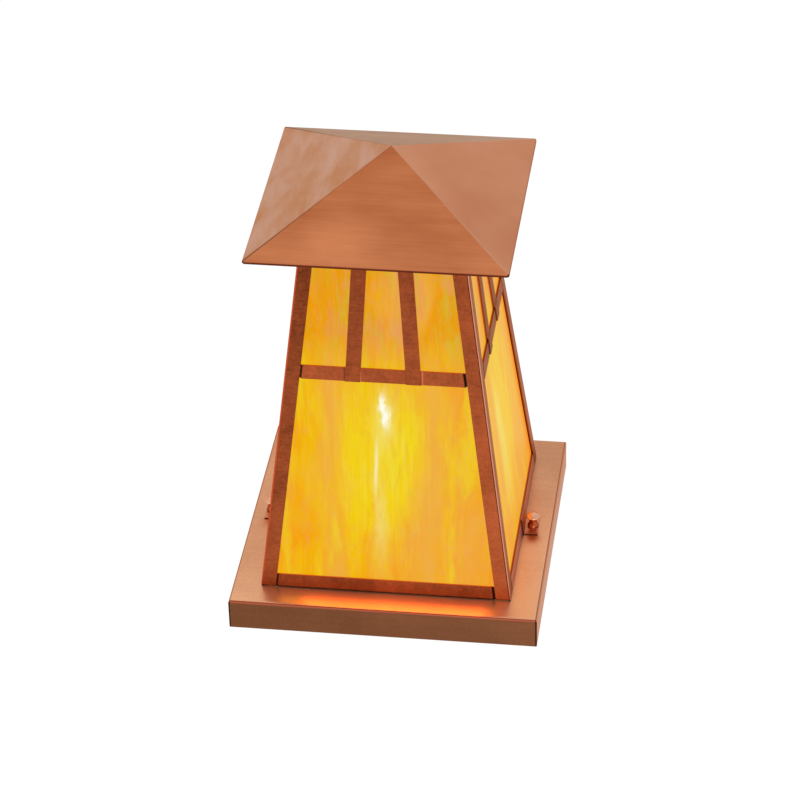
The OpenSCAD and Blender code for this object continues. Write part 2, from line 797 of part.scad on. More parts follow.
// Threaded shank, with a spigot that goes up into the knob
module screw_shank(sx) color(ZINC)
    translate([sx * screw_x, 0, base_h + tab_t])
        rotate_extrude()
            polygon([
                [0, -shank_l], [shank_d / 2 - 0.6, -shank_l], [shank_d / 2, 0.6 - shank_l],
                [shank_d / 2, 0], [spigot_d / 2, 0], [spigot_d / 2, spigot_l], [0, spigot_l]]);

// Turned knob: an oval head, a drawn-in neck and a spread foot
HEAD_STEPS = 16;
module thumb_knob(sx) color(BRASS) {
    head_r = knob_head_d / 2;
    head_half = knob_head_t / 2;
    neck_r = knob_neck_d / 2;
    foot_r = knob_foot_d / 2;
    bore_r = spigot_d / 2 + running_gap;
    foot_t = 1.2;
    // The neck's curve, upright where it meets the neck
    flare_a = 2 * atan((foot_r - neck_r) / knob_flare_h);
    flare_r = knob_flare_h / sin(flare_a);
    // Angle at which the oval head meets the neck
    head_a = acos(neck_r / head_r);
    translate([sx * screw_x, 0, base_h + tab_t])
        rotate_extrude()
            polygon(concat(
                [[0, spigot_l + running_gap], [bore_r, spigot_l + running_gap], [bore_r, 0],
                 [foot_r, 0], [foot_r, foot_t]],
                arc([neck_r + flare_r, foot_t + knob_flare_h], flare_r, 180 + flare_a, 180),
                [for (k = [0:HEAD_STEPS])
                    let (a = -head_a + (90 + head_a) * k / HEAD_STEPS)
                    [head_r * cos(a), knob_h - head_half + head_half * sin(a)]]));
}

// Drawn cap of the lamp, with an inturned foot round its insulator
cap_foot_r = 10;
module lamp_cap() color(ZINC)
    translate([0, 0, cap_z])
        rotate_extrude()
            polygon([
                [cap_foot_r, 0], [cap_d / 2 - 1, 0], [cap_d / 2, 1], [cap_d / 2, cap_l],
                [cap_d / 2 - cap_t, cap_l], [cap_d / 2 - cap_t, 1 + cap_t / 2],
                [cap_d / 2 - 1 - cap_t / 2, cap_t], [cap_foot_r, cap_t]]);

module lamp_insulator() color([0.08, 0.08, 0.09])
    rotate_extrude()
        polygon([
            [0, lamp_z + lamp_tip_h], [4.8, lamp_z + lamp_tip_h], [cap_foot_r + 0.4, cap_z],
            [cap_foot_r - running_gap, cap_z], [cap_foot_r - running_gap, cap_z + cap_t],
            [0, cap_z + cap_t]]);

module lamp_contact() color(ZINC)
    translate([0, 0, lamp_z])
        rotate_extrude()
            polygon(concat(
                [[0, 0], [3.6, 0]],
                arc([3.6, 1], 1, -90, 0),
                [[4.6, lamp_tip_h], [0, lamp_tip_h]]));

// Outline of the bulb: a straight neck, a flowing shoulder and a ball
SHOULDER_STEPS = 10;
BALL_STEPS = 12;
shoulder_a = -38;
function bulb_outline(shrink) =
    let (
        r = bulb_r - shrink,
        c = [0, bulb_centre_z],
        start = [neck_r - shrink, cap_top + 1],
        end = polar(c, r, shoulder_a),
        reach = (end[1] - start[1]) * 0.55,
        p1 = start + [0, reach],
        p2 = end - reach * [cos(90 + shoulder_a), sin(90 + shoulder_a)])
    concat(
        [for (k = [0:SHOULDER_STEPS - 1])
            let (t = k / SHOULDER_STEPS)
            pow(1 - t, 3) * start + 3 * t * pow(1 - t, 2) * p1 + 3 * t * t * (1 - t) * p2 + pow(t, 3) * end],
        [for (k = [0:BALL_STEPS]) polar(c, r, shoulder_a + (90 - shoulder_a) * k / BALL_STEPS)]);

// The bulb's neck goes down inside the cap
bulb_foot_z = cap_z + 3;
module lamp_bulb() color([0.97, 0.96, 0.92], 0.6)
    rotate_extrude() {
        outside = bulb_outline(0);
        inside = bulb_outline(bulb_wall);
        polygon(concat(
            [[neck_r - bulb_wall, bulb_foot_z], [neck_r, bulb_foot_z]],
            [for (p = outside) [max(p[0], 0), p[1]]],
            [for (k = [len(inside) - 1:-1:0]) [max(inside[k][0], 0), inside[k][1]]]));
    }

stem_drop = 22;
stem_flare_h = 14;
stem_top = bulb_centre_z - stem_drop;
stem_foot_r = neck_r - bulb_wall - 0.1;
// Two support wires that stand in the stem and lean apart
wire_d = 0.8;
wire_seat_x = 2.2;
wire_x = 9;
wire_seat_h = 6;
wire_seat_z = stem_top - wire_seat_h;
wire_rise = bulb_centre_z - wire_seat_z;
module support_wires()
    for (sx = [-1, 1])
        translate([sx * wire_seat_x, 0, wire_seat_z])
            rotate([0, sx * atan((wire_x - wire_seat_x) / wire_rise), 0])
                cylinder(h = norm([wire_x - wire_seat_x, wire_rise]), d = wire_d);

module lamp_stem() color([0.9, 0.93, 0.95], 0.5)
    difference() {
        rotate_extrude()
            polygon([
                [0, bulb_foot_z], [stem_foot_r, bulb_foot_z], [stem_foot_r, bulb_foot_z + 1.5],
                [4, bulb_foot_z + stem_flare_h], [3.4, stem_top - 4], [3, stem_top], [0, stem_top]]);
        support_wires();
    }

// The support wires, with the filament arched between their tips
module lamp_filament() color([0.75, 0.72, 0.65]) {
    support_wires();
    translate([0, 0, bulb_centre_z])
        rotate([90, 0, 0])
            rotate_extrude(angle = 180)
                translate([wire_x, 0])
                    circle(d = wire_d, $fn = 16);
}

base_pan();
crossbar();
ground_screw();
nipple();
lock_nuts();
flat_washers();
clinch_nuts();
holder_bracket();
holder_screws();
holder_body();
screw_shell();
centre_contact();
contact_rivet();
terminal_screws();
post(0);  // post_front_right
post(1);  // post_back_right
post(2);  // post_back_left
post(3);  // post_front_left
foot_rail(0);  // foot_rail_front
foot_rail(1);  // foot_rail_right
foot_rail(2);  // foot_rail_back
foot_rail(3);  // foot_rail_left
mid_bar(0);  // mid_bar_front
mid_bar(1);  // mid_bar_right
mid_bar(2);  // mid_bar_back
mid_bar(3);  // mid_bar_left
bars(0);  // bars_front
bars(1);  // bars_right
bars(2);  // bars_back
bars(3);  // bars_left
top_rail(0);  // top_rail_front
top_rail(1);  // top_rail_right
top_rail(2);  // top_rail_back
top_rail(3);  // top_rail_left
panel(0);  // panel_front
panel(1);  // panel_right
panel(2);  // panel_back
panel(3);  // panel_left
glass(0);  // glass_front
glass(1);  // glass_right
glass(2);  // glass_back
glass(3);  // glass_left
glass_clips();
roof(0);  // roof_front
roof(1);  // roof_right
roof(2);  // roof_back
roof(3);  // roof_left
tab(1);  // tab_right
tab(-1);  // tab_left
screw_shank(1);  // screw_shank_right
thumb_knob(1);  // thumb_knob_right
screw_shank(-1);  // screw_shank_left
thumb_knob(-1);  // thumb_knob_left
lamp_contact();
lamp_insulator();
lamp_cap();
lamp_bulb();
lamp_stem();
lamp_filament();
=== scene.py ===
# %% [markdown] # A copper pier lantern This scene dresses a lantern that was built as solids: a flared
# body of copper strip with art glass, a pyramid roof, and a shallow base pan. Here they get their
# finishes, and a few pieces that a solid model leaves plain, such as screw threads, are modelled by hand
# and take the place of the plain ones.

# %% Load the solids
import math

import bmesh
import bpy
from mathutils import Matrix, Vector


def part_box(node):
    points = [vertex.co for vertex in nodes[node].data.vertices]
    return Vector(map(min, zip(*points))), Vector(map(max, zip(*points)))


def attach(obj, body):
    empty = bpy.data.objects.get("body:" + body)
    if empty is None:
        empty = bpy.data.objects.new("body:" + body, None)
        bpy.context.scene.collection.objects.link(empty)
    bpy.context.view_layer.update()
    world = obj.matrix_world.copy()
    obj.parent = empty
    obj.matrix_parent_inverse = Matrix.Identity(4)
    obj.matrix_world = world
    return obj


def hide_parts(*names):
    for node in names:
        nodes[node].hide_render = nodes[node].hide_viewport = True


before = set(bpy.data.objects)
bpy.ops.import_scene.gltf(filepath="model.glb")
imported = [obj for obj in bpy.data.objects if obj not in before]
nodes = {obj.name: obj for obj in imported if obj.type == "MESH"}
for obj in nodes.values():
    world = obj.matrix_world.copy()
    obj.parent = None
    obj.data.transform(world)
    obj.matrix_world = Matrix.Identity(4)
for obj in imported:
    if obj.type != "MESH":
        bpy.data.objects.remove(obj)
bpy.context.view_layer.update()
MM = 0.001
print("nodes:", len(nodes))

# %% [markdown]
# ## The camera
# The photograph looks down on the lantern from the front, a little from its right. A long lens keeps the
# edges nearly parallel. The camera's place is written as an aim point, two angles, a roll and a distance,
# because each of those can be checked on the picture by itself: the angles by how much of the side and
# the roof shows, the distance by how fast the edges run together.

# %% Camera
AIM = Vector((0, 0, 0.156))
TURN = math.radians(-8.607)
RISE = math.radians(34.517)
ROLL = math.radians(-1.655)
DISTANCE = 2.9905
SENSOR = 36
LENS_PER_FRAME = 4.366
SHIFT = (0.0017, -0.0021)

look = Vector((math.sin(TURN) * math.cos(RISE), math.cos(TURN) * math.cos(RISE), -math.sin(RISE)))
level = Vector((math.cos(TURN), -math.sin(TURN), 0))
upright = level.cross(look)
right = math.cos(ROLL) * level + math.sin(ROLL) * upright
up = -math.sin(ROLL) * level + math.cos(ROLL) * upright
camera_data = bpy.data.cameras.new("camera")
camera_data.sensor_width = SENSOR
camera_data.lens = LENS_PER_FRAME * SENSOR
camera_data.shift_x, camera_data.shift_y = SHIFT
camera = bpy.data.objects.new("camera", camera_data)
bpy.context.scene.collection.objects.link(camera)
turned = Matrix((right, up, -look)).transposed().to_4x4()
camera.matrix_world = Matrix.Translation(AIM - DISTANCE * look) @ turned
bpy.context.scene.camera = camera
print("camera at", [round(v, 3) for v in camera.matrix_world.translation])

# %% [markdown]
# ## Shader maths that reads as Python
# A finish is a small network of nodes, and most of it is arithmetic on masks. Placing Math nodes by hand
# hides what is being worked out, so a wire, which is an output socket, gets Python's operators: `1 - mask`
# adds the node that subtracts. Two more are used all the time: a ramp turns a value into a mask with a
# soft edge, and a bell into a soft spot or line.


# %% Wires
class Wire:
    """An output socket that Python's operators can calculate with."""

    def __init__(self, finish, socket):
        self.finish = finish
        self.socket = socket

    def maths(self, operation, *terms, clamp=False):
        settings = {"operation": operation, "use_clamp": clamp}
        return self.finish.node("ShaderNodeMath", settings, dict(enumerate(terms)))

    def __add__(self, other):
        return self.maths("ADD", self, other)

    def __radd__(self, other):
        return self.maths("ADD", other, self)

    def __sub__(self, other):
        return self.maths("SUBTRACT", self, other)

    def __rsub__(self, other):
        return self.maths("SUBTRACT", other, self)

    def __mul__(self, other):
        return self.maths("MULTIPLY", self, other)

    def __rmul__(self, other):
        return self.maths("MULTIPLY", other, self)

    def __truediv__(self, other):
        return self.maths("DIVIDE", self, other)

    def __abs__(self):
        return self.maths("ABSOLUTE", self)

    def larger(self, other):
        return self.maths("MAXIMUM", self, other)

    def exceeds(self, other):
        """1 where this wire is greater than the other, and 0 elsewhere."""
        return self.maths("GREATER_THAN", self, other)

    def clipped(self):
        """The same value, kept between 0 and 1."""
        return self.maths("ADD", self, 0, clamp=True)

    def ramp(self, low, high):
        """0 below low, 1 above high, and a straight line between."""
        return self.maths("DIVIDE", self - low, high - low, clamp=True)

    def bell(self, middle, width):
        """1 at the middle, falling off to either side as a bell does."""
        offset = (self - middle) / width
        return self.maths("EXPONENT", 0 - offset * offset)


print("wires can do:", ", ".join(name for name in vars(Wire) if not name.startswith("_")))

# %% [markdown]
# ## What every finish needs
# Every node that isn't maths comes from one method, which takes the node's type, its settings and its
# inputs. The other methods are the few things that finishes are made of: the point on the object, the way
# its surface faces, noise, a mix of two colours, a row of colours, and a bump. All patterns are laid out
# on the object's own coordinates, in metres, so they stay on a piece when it is lifted or turned.

# %% Finishes
EDGE_TINT = (0.78, 0.4, 0.28, 1.0)


class Finish:
    """A material: wires in, then values or wires on the Principled shader's own sockets."""

    def __init__(self, name):
        self.material = bpy.data.materials.new(name)
        self.material.use_nodes = True
        self.tree = self.material.node_tree
        self.shader = self.tree.nodes["Principled BSDF"]

    def node(self, kind, settings=None, inputs=None, output=0):
        made = self.tree.nodes.new(kind)
        for key, value in (settings or {}).items():
            if key == "stops":
                self.set_stops(made.color_ramp, value)
            else:
                setattr(made, key, value)
        for key, value in (inputs or {}).items():
            self.feed(made.inputs[key], value)
        return Wire(self, made.outputs[output])

    def set_stops(self, ramp, stops):
        while len(ramp.elements) < len(stops):
            ramp.elements.new(1)
        for element, (place, shade) in zip(ramp.elements, stops):
            element.position = place
            element.color = shade

    def feed(self, socket, value):
        if isinstance(value, Wire):
            self.tree.links.new(value.socket, socket)
        else:
            socket.default_value = value

    def set(self, **values):
        for key, value in values.items():
            self.feed(self.shader.inputs[key.replace("_", " ")], value)

    def metal(self, shade, rough, part=0.9, edge=EDGE_TINT):
        """Copper reflects its own colour even at a glancing angle, so its edge tint is copper too."""
        self.set(Base_Color=shade, Roughness=rough, Metallic=part, Specular_Tint=edge)

    def place(self):
        """The point on the object, in metres, as three wires."""
        point = {"Vector": self.node("ShaderNodeTexCoord", output="Object")}
        return [self.node("ShaderNodeSeparateXYZ", None, point, output=axis) for axis in "XYZ"]

    def facing(self):
        """The way the surface itself faces, as three wires from -1 to 1."""
        normal = {"Vector": self.node("ShaderNodeNewGeometry", output="Normal")}
        return [self.node("ShaderNodeSeparateXYZ", None, normal, output=axis) for axis in "XYZ"]

    def noise(self, x, y, z, detail=2.0, distortion=0.0, roughness=0.5):
        """Smooth noise from 0 to 1 over three wires or numbers, each already scaled."""
        point = self.node("ShaderNodeCombineXYZ", None, {"X": x, "Y": y, "Z": z})
        look_up = {"Vector": point, "Scale": 1.0, "Detail": detail, "Roughness": roughness,
                   "Distortion": distortion}
        return self.node("ShaderNodeTexNoise", None, look_up)

    def clouds(self, rate, detail, **settings):
        """Noise that changes at the same rate in every direction, in times per metre."""
        x, y, z = self.place()
        return self.noise(x * rate, y * rate, z * rate, detail, **settings)

    def mix(self, factor, first, second):
        """A colour between two colours."""
        inputs = {0: factor, 6: first, 7: second}
        return self.node("ShaderNodeMix", {"data_type": "RGBA", "clamp_factor": True}, inputs, output=2)

    def bands(self, value, stops):
        """A colour looked up from a row of colours, each at its place along a value."""
        return self.node("ShaderNodeValToRGB", {"stops": stops}, {"Fac": value})

    def bump(self, height, strength, depth=0.0002):
        inputs = {"Height": height, "Strength": strength, "Distance": depth}
        return self.node("ShaderNodeBump", None, inputs)


print("edge tint:", EDGE_TINT)

# %% [markdown]
# ## Colours, and who wears them
# A colour is written as a screen shows it, 0 to 255, because that is how an eye judges it. A shader counts
# light instead, so one function turns the first into the second. The other two helpers give a solid its
# finish, and find how far to the right a point lies on a side, which lets four sides share one finish.


# %% Colours
def colour(red, green, blue):
    """A colour written as a screen shows it, 0 to 255, for a shader that counts light."""
    parts = [v / 255 for v in (red, green, blue)]
    return tuple(v / 12.92 if v <= 0.04045 else ((v + 0.055) / 1.055) ** 2.4 for v in parts) + (1.0,)


def wear(name, finish):
    """Gives one of the solids its finish."""
    solid = nodes[name]
    solid.data.materials.clear()
    solid.data.materials.append(finish.material)


def across_side(side, x, y):
    """How far a point is to the right of the middle, for someone who faces that side."""
    along = x if side in ("front", "back") else y
    return along if side in ("front", "right") else 0 - along


print("a mid grey is", round(colour(128, 128, 128)[0], 3))

# %% [markdown]
# ## The roof's copper
# Each triangle of the roof is its own sheet, brushed in its own direction and tarnished in its own way:
# the front one is the reddest, the left one is cloudy, the back one is the greyest. Brushing is noise
# stretched along one direction, and tarnish is soft noise. Noise is worked out at every point, so it stays
# sharp close up, where a painted picture would blur. A hip is where two sheets meet, so it lies where a
# point is as far from the middle along X as along Y, and the lines there follow from that: painted shade
# in the gap, and solder with a painted highlight. The turned-down lip is told from the sheet by the way it
# faces: outwards, and half up at the fold, and it is painted darker there as shade.

# %% Roof copper
DULL_EDGE_TINT = (0.72, 0.52, 0.4, 1.0)
ALONG_X = (7, 170, 170)
ALONG_Y = (170, 7, 170)
UP_SLOPE_X = (22, 120, 22)
UP_SLOPE_Y = (120, 22, 22)
# The hip colours are painted: shade in the gap where two sheets meet, and highlight, with solder, on their
# edges.
SOLDER_AND_HIGHLIGHT = colour(214, 168, 142)
HIP_GAP_SHADE = colour(92, 54, 36)
HIP_HIGHLIGHT = colour(208, 152, 120)
# The turned-down lip and its fold are painted darker, as shade.
LIP_SHADE = colour(102, 44, 24)
FOLD_HALF_SHADE = colour(194, 112, 74)
UPPER_ROOF = (0.37, 0.406)
RUBBED_X = -0.036
RUBBED_Z = 0.366


def roof_copper(side, deep, pale, brush, cloud, cloudy, brushed, to_apex, hips, edge=EDGE_TINT):
    """Brushed sheet. brush and cloud say how fast scratches and tarnish change along X, Y and Z, to_apex
    how the tone changes on the way up, and hips the colour of the sheet's left and right edge."""
    finish = Finish("roof " + side + " copper")
    x, y, z = finish.place()
    nz = finish.facing()[2]
    clouds = finish.noise(x * cloud[0], y * cloud[1], z * cloud[2], detail=5, distortion=0.35)
    drift = finish.noise(x * 9, y * 9, z * 30, detail=3, distortion=0.5)
    scratches = finish.noise(x * brush[0], y * brush[1], z * brush[2], detail=5, distortion=0.3,
                             roughness=0.6)
    fine = finish.noise(x * brush[0] * 4, y * brush[1] * 4, z * brush[2] * 4, detail=2)
    tone = (clouds.ramp(0.3, 0.7) - 0.5) * cloudy + (scratches - 0.5) * brushed * 5
    tone = tone + (fine - 0.5) * brushed * 3 + (drift - 0.5) * 0.9 + 0.5 + z.ramp(*UPPER_ROOF) * to_apex
    if side == "front":
        tone = tone + x.bell(RUBBED_X, 0.03) * z.bell(RUBBED_Z, 0.01) * 0.3
    sheet = finish.mix(tone, deep, pale)
    # Paints the shade and highlight lines along the hips, stronger towards the corners.
    left_to_right = across_side(side, x, y).ramp(-0.004, 0.004)
    to_hip = abs(abs(x) - abs(y)) + (scratches - 0.5) * 0.0008
    strength = abs(x).larger(abs(y)).ramp(0.03, 0.1) * 0.65 + 0.15
    hip_colour = finish.mix(left_to_right, hips[0], hips[1])
    sheet = finish.mix((1 - to_hip.ramp(0.0003, 0.0016)) * strength, sheet, hip_colour)
    # Paints half shade on the fold and full shade on the lip, by the way they face.
    sheet = finish.mix(nz.ramp(0.35, 0.88), FOLD_HALF_SHADE, sheet)
    sheet = finish.mix(nz.ramp(0.02, 0.3), LIP_SHADE, sheet)
    finish.metal(sheet, (scratches - 0.5) * 0.3 + 0.42, 0.8, edge)
    finish.set(Normal=finish.bump(fine + scratches, 0.1))
    return finish


wear("roof_front", roof_copper("front", colour(176, 98, 58), colour(216, 136, 90), brush=ALONG_X,
                               cloud=(14, 14, 60), cloudy=0.46, brushed=0.12, to_apex=-0.2,
                               hips=(HIP_GAP_SHADE, HIP_HIGHLIGHT)))
wear("roof_left", roof_copper("left", colour(204, 146, 106), colour(216, 176, 154), brush=ALONG_Y,
                              cloud=(62, 24, 84), cloudy=0.95, brushed=0.06, to_apex=0.15,
                              hips=(HIP_GAP_SHADE, HIP_GAP_SHADE)))
wear("roof_right", roof_copper("right", colour(198, 128, 92), colour(222, 162, 128), brush=UP_SLOPE_X,
                               cloud=(12, 12, 12), cloudy=0.4, brushed=0.06, to_apex=0.3,
                               hips=(SOLDER_AND_HIGHLIGHT, SOLDER_AND_HIGHLIGHT)))
wear("roof_back", roof_copper("back", colour(166, 128, 102), colour(200, 166, 140), brush=UP_SLOPE_Y,
                              cloud=(18, 18, 18), cloudy=0.5, brushed=0.12, to_apex=0.0,
                              hips=(SOLDER_AND_HIGHLIGHT, HIP_GAP_SHADE), edge=DULL_EDGE_TINT))
print("roof finished")

# %% [markdown]
# ## The frame's copper
# The posts, rails and bars are darker and redder than the roof. They were brushed across their length,
# so the scratches on an upright strip run level and those on a level strip run upright. They are painted
# darker towards the roof, as shade under it, and a painted black shadow line shows where they stand on the
# pan.
# One class makes the scratches, patches and tone that all the strips share, so that they look like strips
# off one sheet, and each kind of strip then adds what is its own.

# %% Copper strip
FOOT_HALF = 0.1075
FOOT_Z = 0.028
LEAN = math.tan(math.radians(7))
FOOT_LINE = (0.0287, 0.0295)
FAST = 680
SLOW = 70
# Painted shade: black under a strip where it stands on the pan, and in the gaps at the ends of level
# strips.
SHADE_BLACK = colour(34, 20, 14)


def half_side(height):
    """How far a side's edge is from its middle, at a height given as a wire or a number."""
    return FOOT_HALF - (height - FOOT_Z) * LEAN


class Strip:
    """What every strip's finish is made from. length is the axis that the strip runs along."""

    def __init__(self, name, length, lift=0.0, brushed=0.7):
        self.finish = finish = Finish(name)
        self.x, self.y, self.z = x, y, z = finish.place()
        self.nx, self.ny, self.nz = finish.facing()
        rates = [FAST if axis == length else SLOW for axis in "XYZ"]
        self.scratches = finish.noise(x * rates[0], y * rates[1], z * rates[2], detail=4, roughness=0.6)
        patches = finish.noise(x * 34, y * 34, z * 24, detail=4, distortion=0.5)
        stains = finish.clouds(110, 4, roughness=0.6)
        specks = finish.clouds(420, 2)
        tone = patches.ramp(0.32, 0.72) * 0.26 + (self.scratches - 0.5) * brushed + (stains - 0.5) * 0.4
        # The last term paints shade that deepens towards the roof.
        self.tone = tone + (specks - 0.5) * 0.5 + 0.34 + lift - z.ramp(0.04, 0.34) * 0.3

    # Paints the shadow line where a strip stands on the pan.
    def painted_foot_shadow(self, shade):
        return self.finish.mix(1 - self.z.ramp(*FOOT_LINE), shade, SHADE_BLACK)

    def done(self, shade):
        """Lays the shade on as brushed metal."""
        self.finish.metal(shade, (self.scratches - 0.5) * 0.25 + 0.44)
        self.finish.set(Normal=self.finish.bump(self.scratches, 0.15))
        return self.finish


print("half a side at the foot:", half_side(FOOT_Z), "m")

# %% [markdown]
# ## Bars and rails
# These are flat strips, sheared from sheet, so their cut edges are bare metal, painted bright as a
# highlight: a cut edge is told from a face by which way it points. Level strips stop short of the posts,
# and their ends are painted black, as shade in the gap. The upright bars lap over the middle bar, with a
# painted brown shadow on one side of each and a painted pale highlight on the other. Lines this thin could
# be solids, but as part of the finish they cost nothing and can't flicker.

# %% Bars and rails
SIDES = ("front", "right", "back", "left")
STRIP_WIDTH = 0.0127
DEEP = colour(110, 50, 24)
WARM = colour(204, 102, 58)
# The dull, pink and pale rail colours are the side-facing copper, painted paler and greyer, as the sides
# look in this light.
DULL = colour(126, 86, 66)
PINK = colour(184, 132, 106)
PALE_RAIL = colour(220, 164, 136)
# The edge colours are bare cut metal, painted brighter as a highlight, and duller on the side strips.
CUT_EDGE_SHEEN = colour(232, 118, 76)
SIDE_EDGE_SHEEN = colour(226, 140, 108)
DULL_EDGE = colour(150, 80, 50)
# A painted shadow beside one side of each lap, and a painted highlight beside the other.
LAP_SHADOW_BROWN = colour(100, 50, 32)
BAR_EDGES = ((-0.0324, LAP_SHADOW_BROWN), (-0.0188, SIDE_EDGE_SHEEN), (0.0191, LAP_SHADOW_BROWN), (0.0327, SIDE_EDGE_SHEEN))


def bar_copper(name, length, on_side, pale, lift, brushed, lap_shading=(), butts=False):
    """A flat strip. on_side is for the ones at the left and right, painted duller as the sides look in this
    light, seams are the places of the painted shadows and highlights beside the laps, each with its colour,
    and butts says that the ends stop short of the posts, where they are painted with the shade of the gap."""
    strip = Strip(name, length, lift, brushed)
    finish = strip.finish
    along_side, end_normal = (strip.y, strip.ny) if on_side else (strip.x, strip.nx)
    shade = finish.mix(strip.tone, DULL if on_side else DEEP, pale)
    # Paints the shadow and highlight lines beside the laps.
    for place, line in lap_shading:
        shade = finish.mix(along_side.bell(place, 0.0005) * 0.85, shade, line)
    # Paints a highlight on the cut edges, by the way they face.
    shade = finish.mix(abs(end_normal).ramp(0.5, 0.8), shade, DULL_EDGE if on_side else SIDE_EDGE_SHEEN)
    shade = finish.mix(strip.nz.ramp(0.86, 0.95), shade, DULL_EDGE if on_side else CUT_EDGE_SHEEN)
    # Painted shadow line at the foot.
    shade = strip.painted_foot_shadow(shade)
    # The ends are painted black, as shade in the gap before each post.
    if butts:
        to_post = half_side(strip.z) - abs(along_side) - STRIP_WIDTH
        to_post = to_post - along_side.ramp(-0.01, 0.01) * 0.0007
        shade = finish.mix(1 - to_post.ramp(0.0014, 0.0022), shade, SHADE_BLACK)
    return strip.done(shade)


for side in SIDES:
    on_side = side in ("right", "left")
    length, pale = ("Y", PINK) if on_side else ("X", WARM)
    # The side rails are painted lighter, as the sides look in this light.
    rail_pale, rail_lift = (PALE_RAIL, 0.75) if on_side else (WARM, -0.08)
    rail = bar_copper(side + " level strip", length, on_side, rail_pale, rail_lift, 0.3, butts=True)
    middle_bar = bar_copper(side + " middle bar", length, on_side, pale, 0.3, 0.4, BAR_EDGES, True)
    wear("foot_rail_" + side, rail)
    wear("top_rail_" + side, rail)
    wear("mid_bar_" + side, middle_bar)
    wear("bars_" + side, bar_copper(side + " upright strip", "Z", on_side, pale, 0.18, 0.55))
print("bars and rails finished")

# %% [markdown]
# ## Posts
# A post is one strip folded along its length. The legs that face front and back are redder than the other
# two, which are painted paler, as they look in this light. On the fold the surface turns from one leg's
# direction to the other's, so the product of the two picks it out: a thin painted red highlight on the
# left posts, and a painted dark shade beside a painted bright highlight on the right.

# %% Posts
CORNERS = ("front_right", "front_left", "back_right", "back_left")
# Painted highlight and shade on the folds of the posts.
ARRIS_HIGHLIGHT_RED = colour(206, 84, 44)
ARRIS_SHADE = colour(74, 30, 18)
ARRIS_HIGHLIGHT_PEACH = colour(232, 160, 130)


def post_copper():
    strip = Strip("post copper", "Z", 0.0, 0.5)
    finish = strip.finish
    warmer = strip.x.ramp(0.0, 0.09) * 0.3
    facing_front = finish.mix(strip.tone + warmer, DEEP, WARM)
    # The side-facing legs are painted paler, as they look in this light.
    facing_side = finish.mix(strip.tone + 0.45, DULL, PINK)
    shade = finish.mix(abs(strip.nx).ramp(0.7, 0.95), facing_front, facing_side)
    # Across the fold: painted shade, then a painted highlight.
    turned = finish.bands(abs(strip.nx), ((0.0, ARRIS_SHADE), (0.5, ARRIS_SHADE), (0.64, ARRIS_HIGHLIGHT_PEACH),
                                          (1.0, ARRIS_HIGHLIGHT_PEACH)))
    fold_light_and_shade = finish.mix(strip.nx.ramp(-0.1, 0.1), ARRIS_HIGHLIGHT_RED, turned)
    on_fold = (abs(strip.nx) * abs(strip.ny)).ramp(0.06, 0.2)
    return strip.done(strip.painted_foot_shadow(finish.mix(on_fold, shade, fold_light_and_shade)))


post_finish = post_copper()
for corner in CORNERS:
    wear("post_" + corner, post_finish)
print("posts finished:", len(CORNERS))

# %% [markdown]
# ## Punched sheets
# Behind the strips stands a sheet with windows punched in it, which holds the glass. Its faces lean with
# the side and are painted dark, as the shade behind the strips, and the cut edges of its windows are
# painted bright, as the glow of the glass on them. The normal of a leaning face is 0.9925 level, while a
# cut edge's is wholly level or much less, so a narrow mask tells them apart.


# %% Punched sheets
def sheet_copper():
    strip = Strip("punched sheet copper", "X")
    levelness = abs(strip.nx).larger(abs(strip.ny))
    on_face = levelness.ramp(0.985, 0.99) * (1 - levelness.ramp(0.994, 0.998))
    # The faces are painted dark, as shade behind the strips, and the window edges bright orange, as the
    # glow of the glass.
    dull = strip.finish.mix(strip.tone, colour(54, 26, 16), colour(92, 46, 28))
    return strip.done(strip.finish.mix(on_face, colour(214, 104, 40), dull))


punched_finish = sheet_copper()
for side in SIDES:
    wear("panel_" + side, punched_finish)
wear("glass_clips", punched_finish)
print("frame finished")

# %% [markdown]
# ## The base pan's copper
# The pan is the palest sheet. Its top is brushed satin, its folded walls are painted with light and shade,
# brown at the front and back and paler tan at the sides, and the bend between them has a painted red band
# under a painted bright highlight. A mask from the way the surface faces tells them apart: it belongs to
# the pan and not to the view. The open notches at the corners are painted dark inside, as shade, and a
# warmer stain lies in front of each fixing tab, where heat reached the pan.

# %% Base pan
pan_low, pan_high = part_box("base_pan")
PAN_HALF = (pan_high.x - pan_low.x) / 2
NOTCH = 0.0016
STAIN_X = 0.1165
STAIN_Y = -0.017
# Painted light and shade across the bends: a red band under a bright highlight.
FRONT_BEND_SHADING = ((0.0, colour(118, 72, 46)), (0.2, colour(126, 74, 48)), (0.42, colour(168, 94, 66)),
              (0.62, colour(196, 104, 74)), (0.78, colour(150, 68, 44)), (0.88, colour(160, 78, 52)),
              (0.94, colour(236, 156, 122)))
SIDE_BEND_SHADING = ((0.0, colour(204, 152, 122)), (0.5, colour(208, 152, 124)), (0.8, colour(150, 88, 62)),
             (0.9, colour(226, 170, 134)))


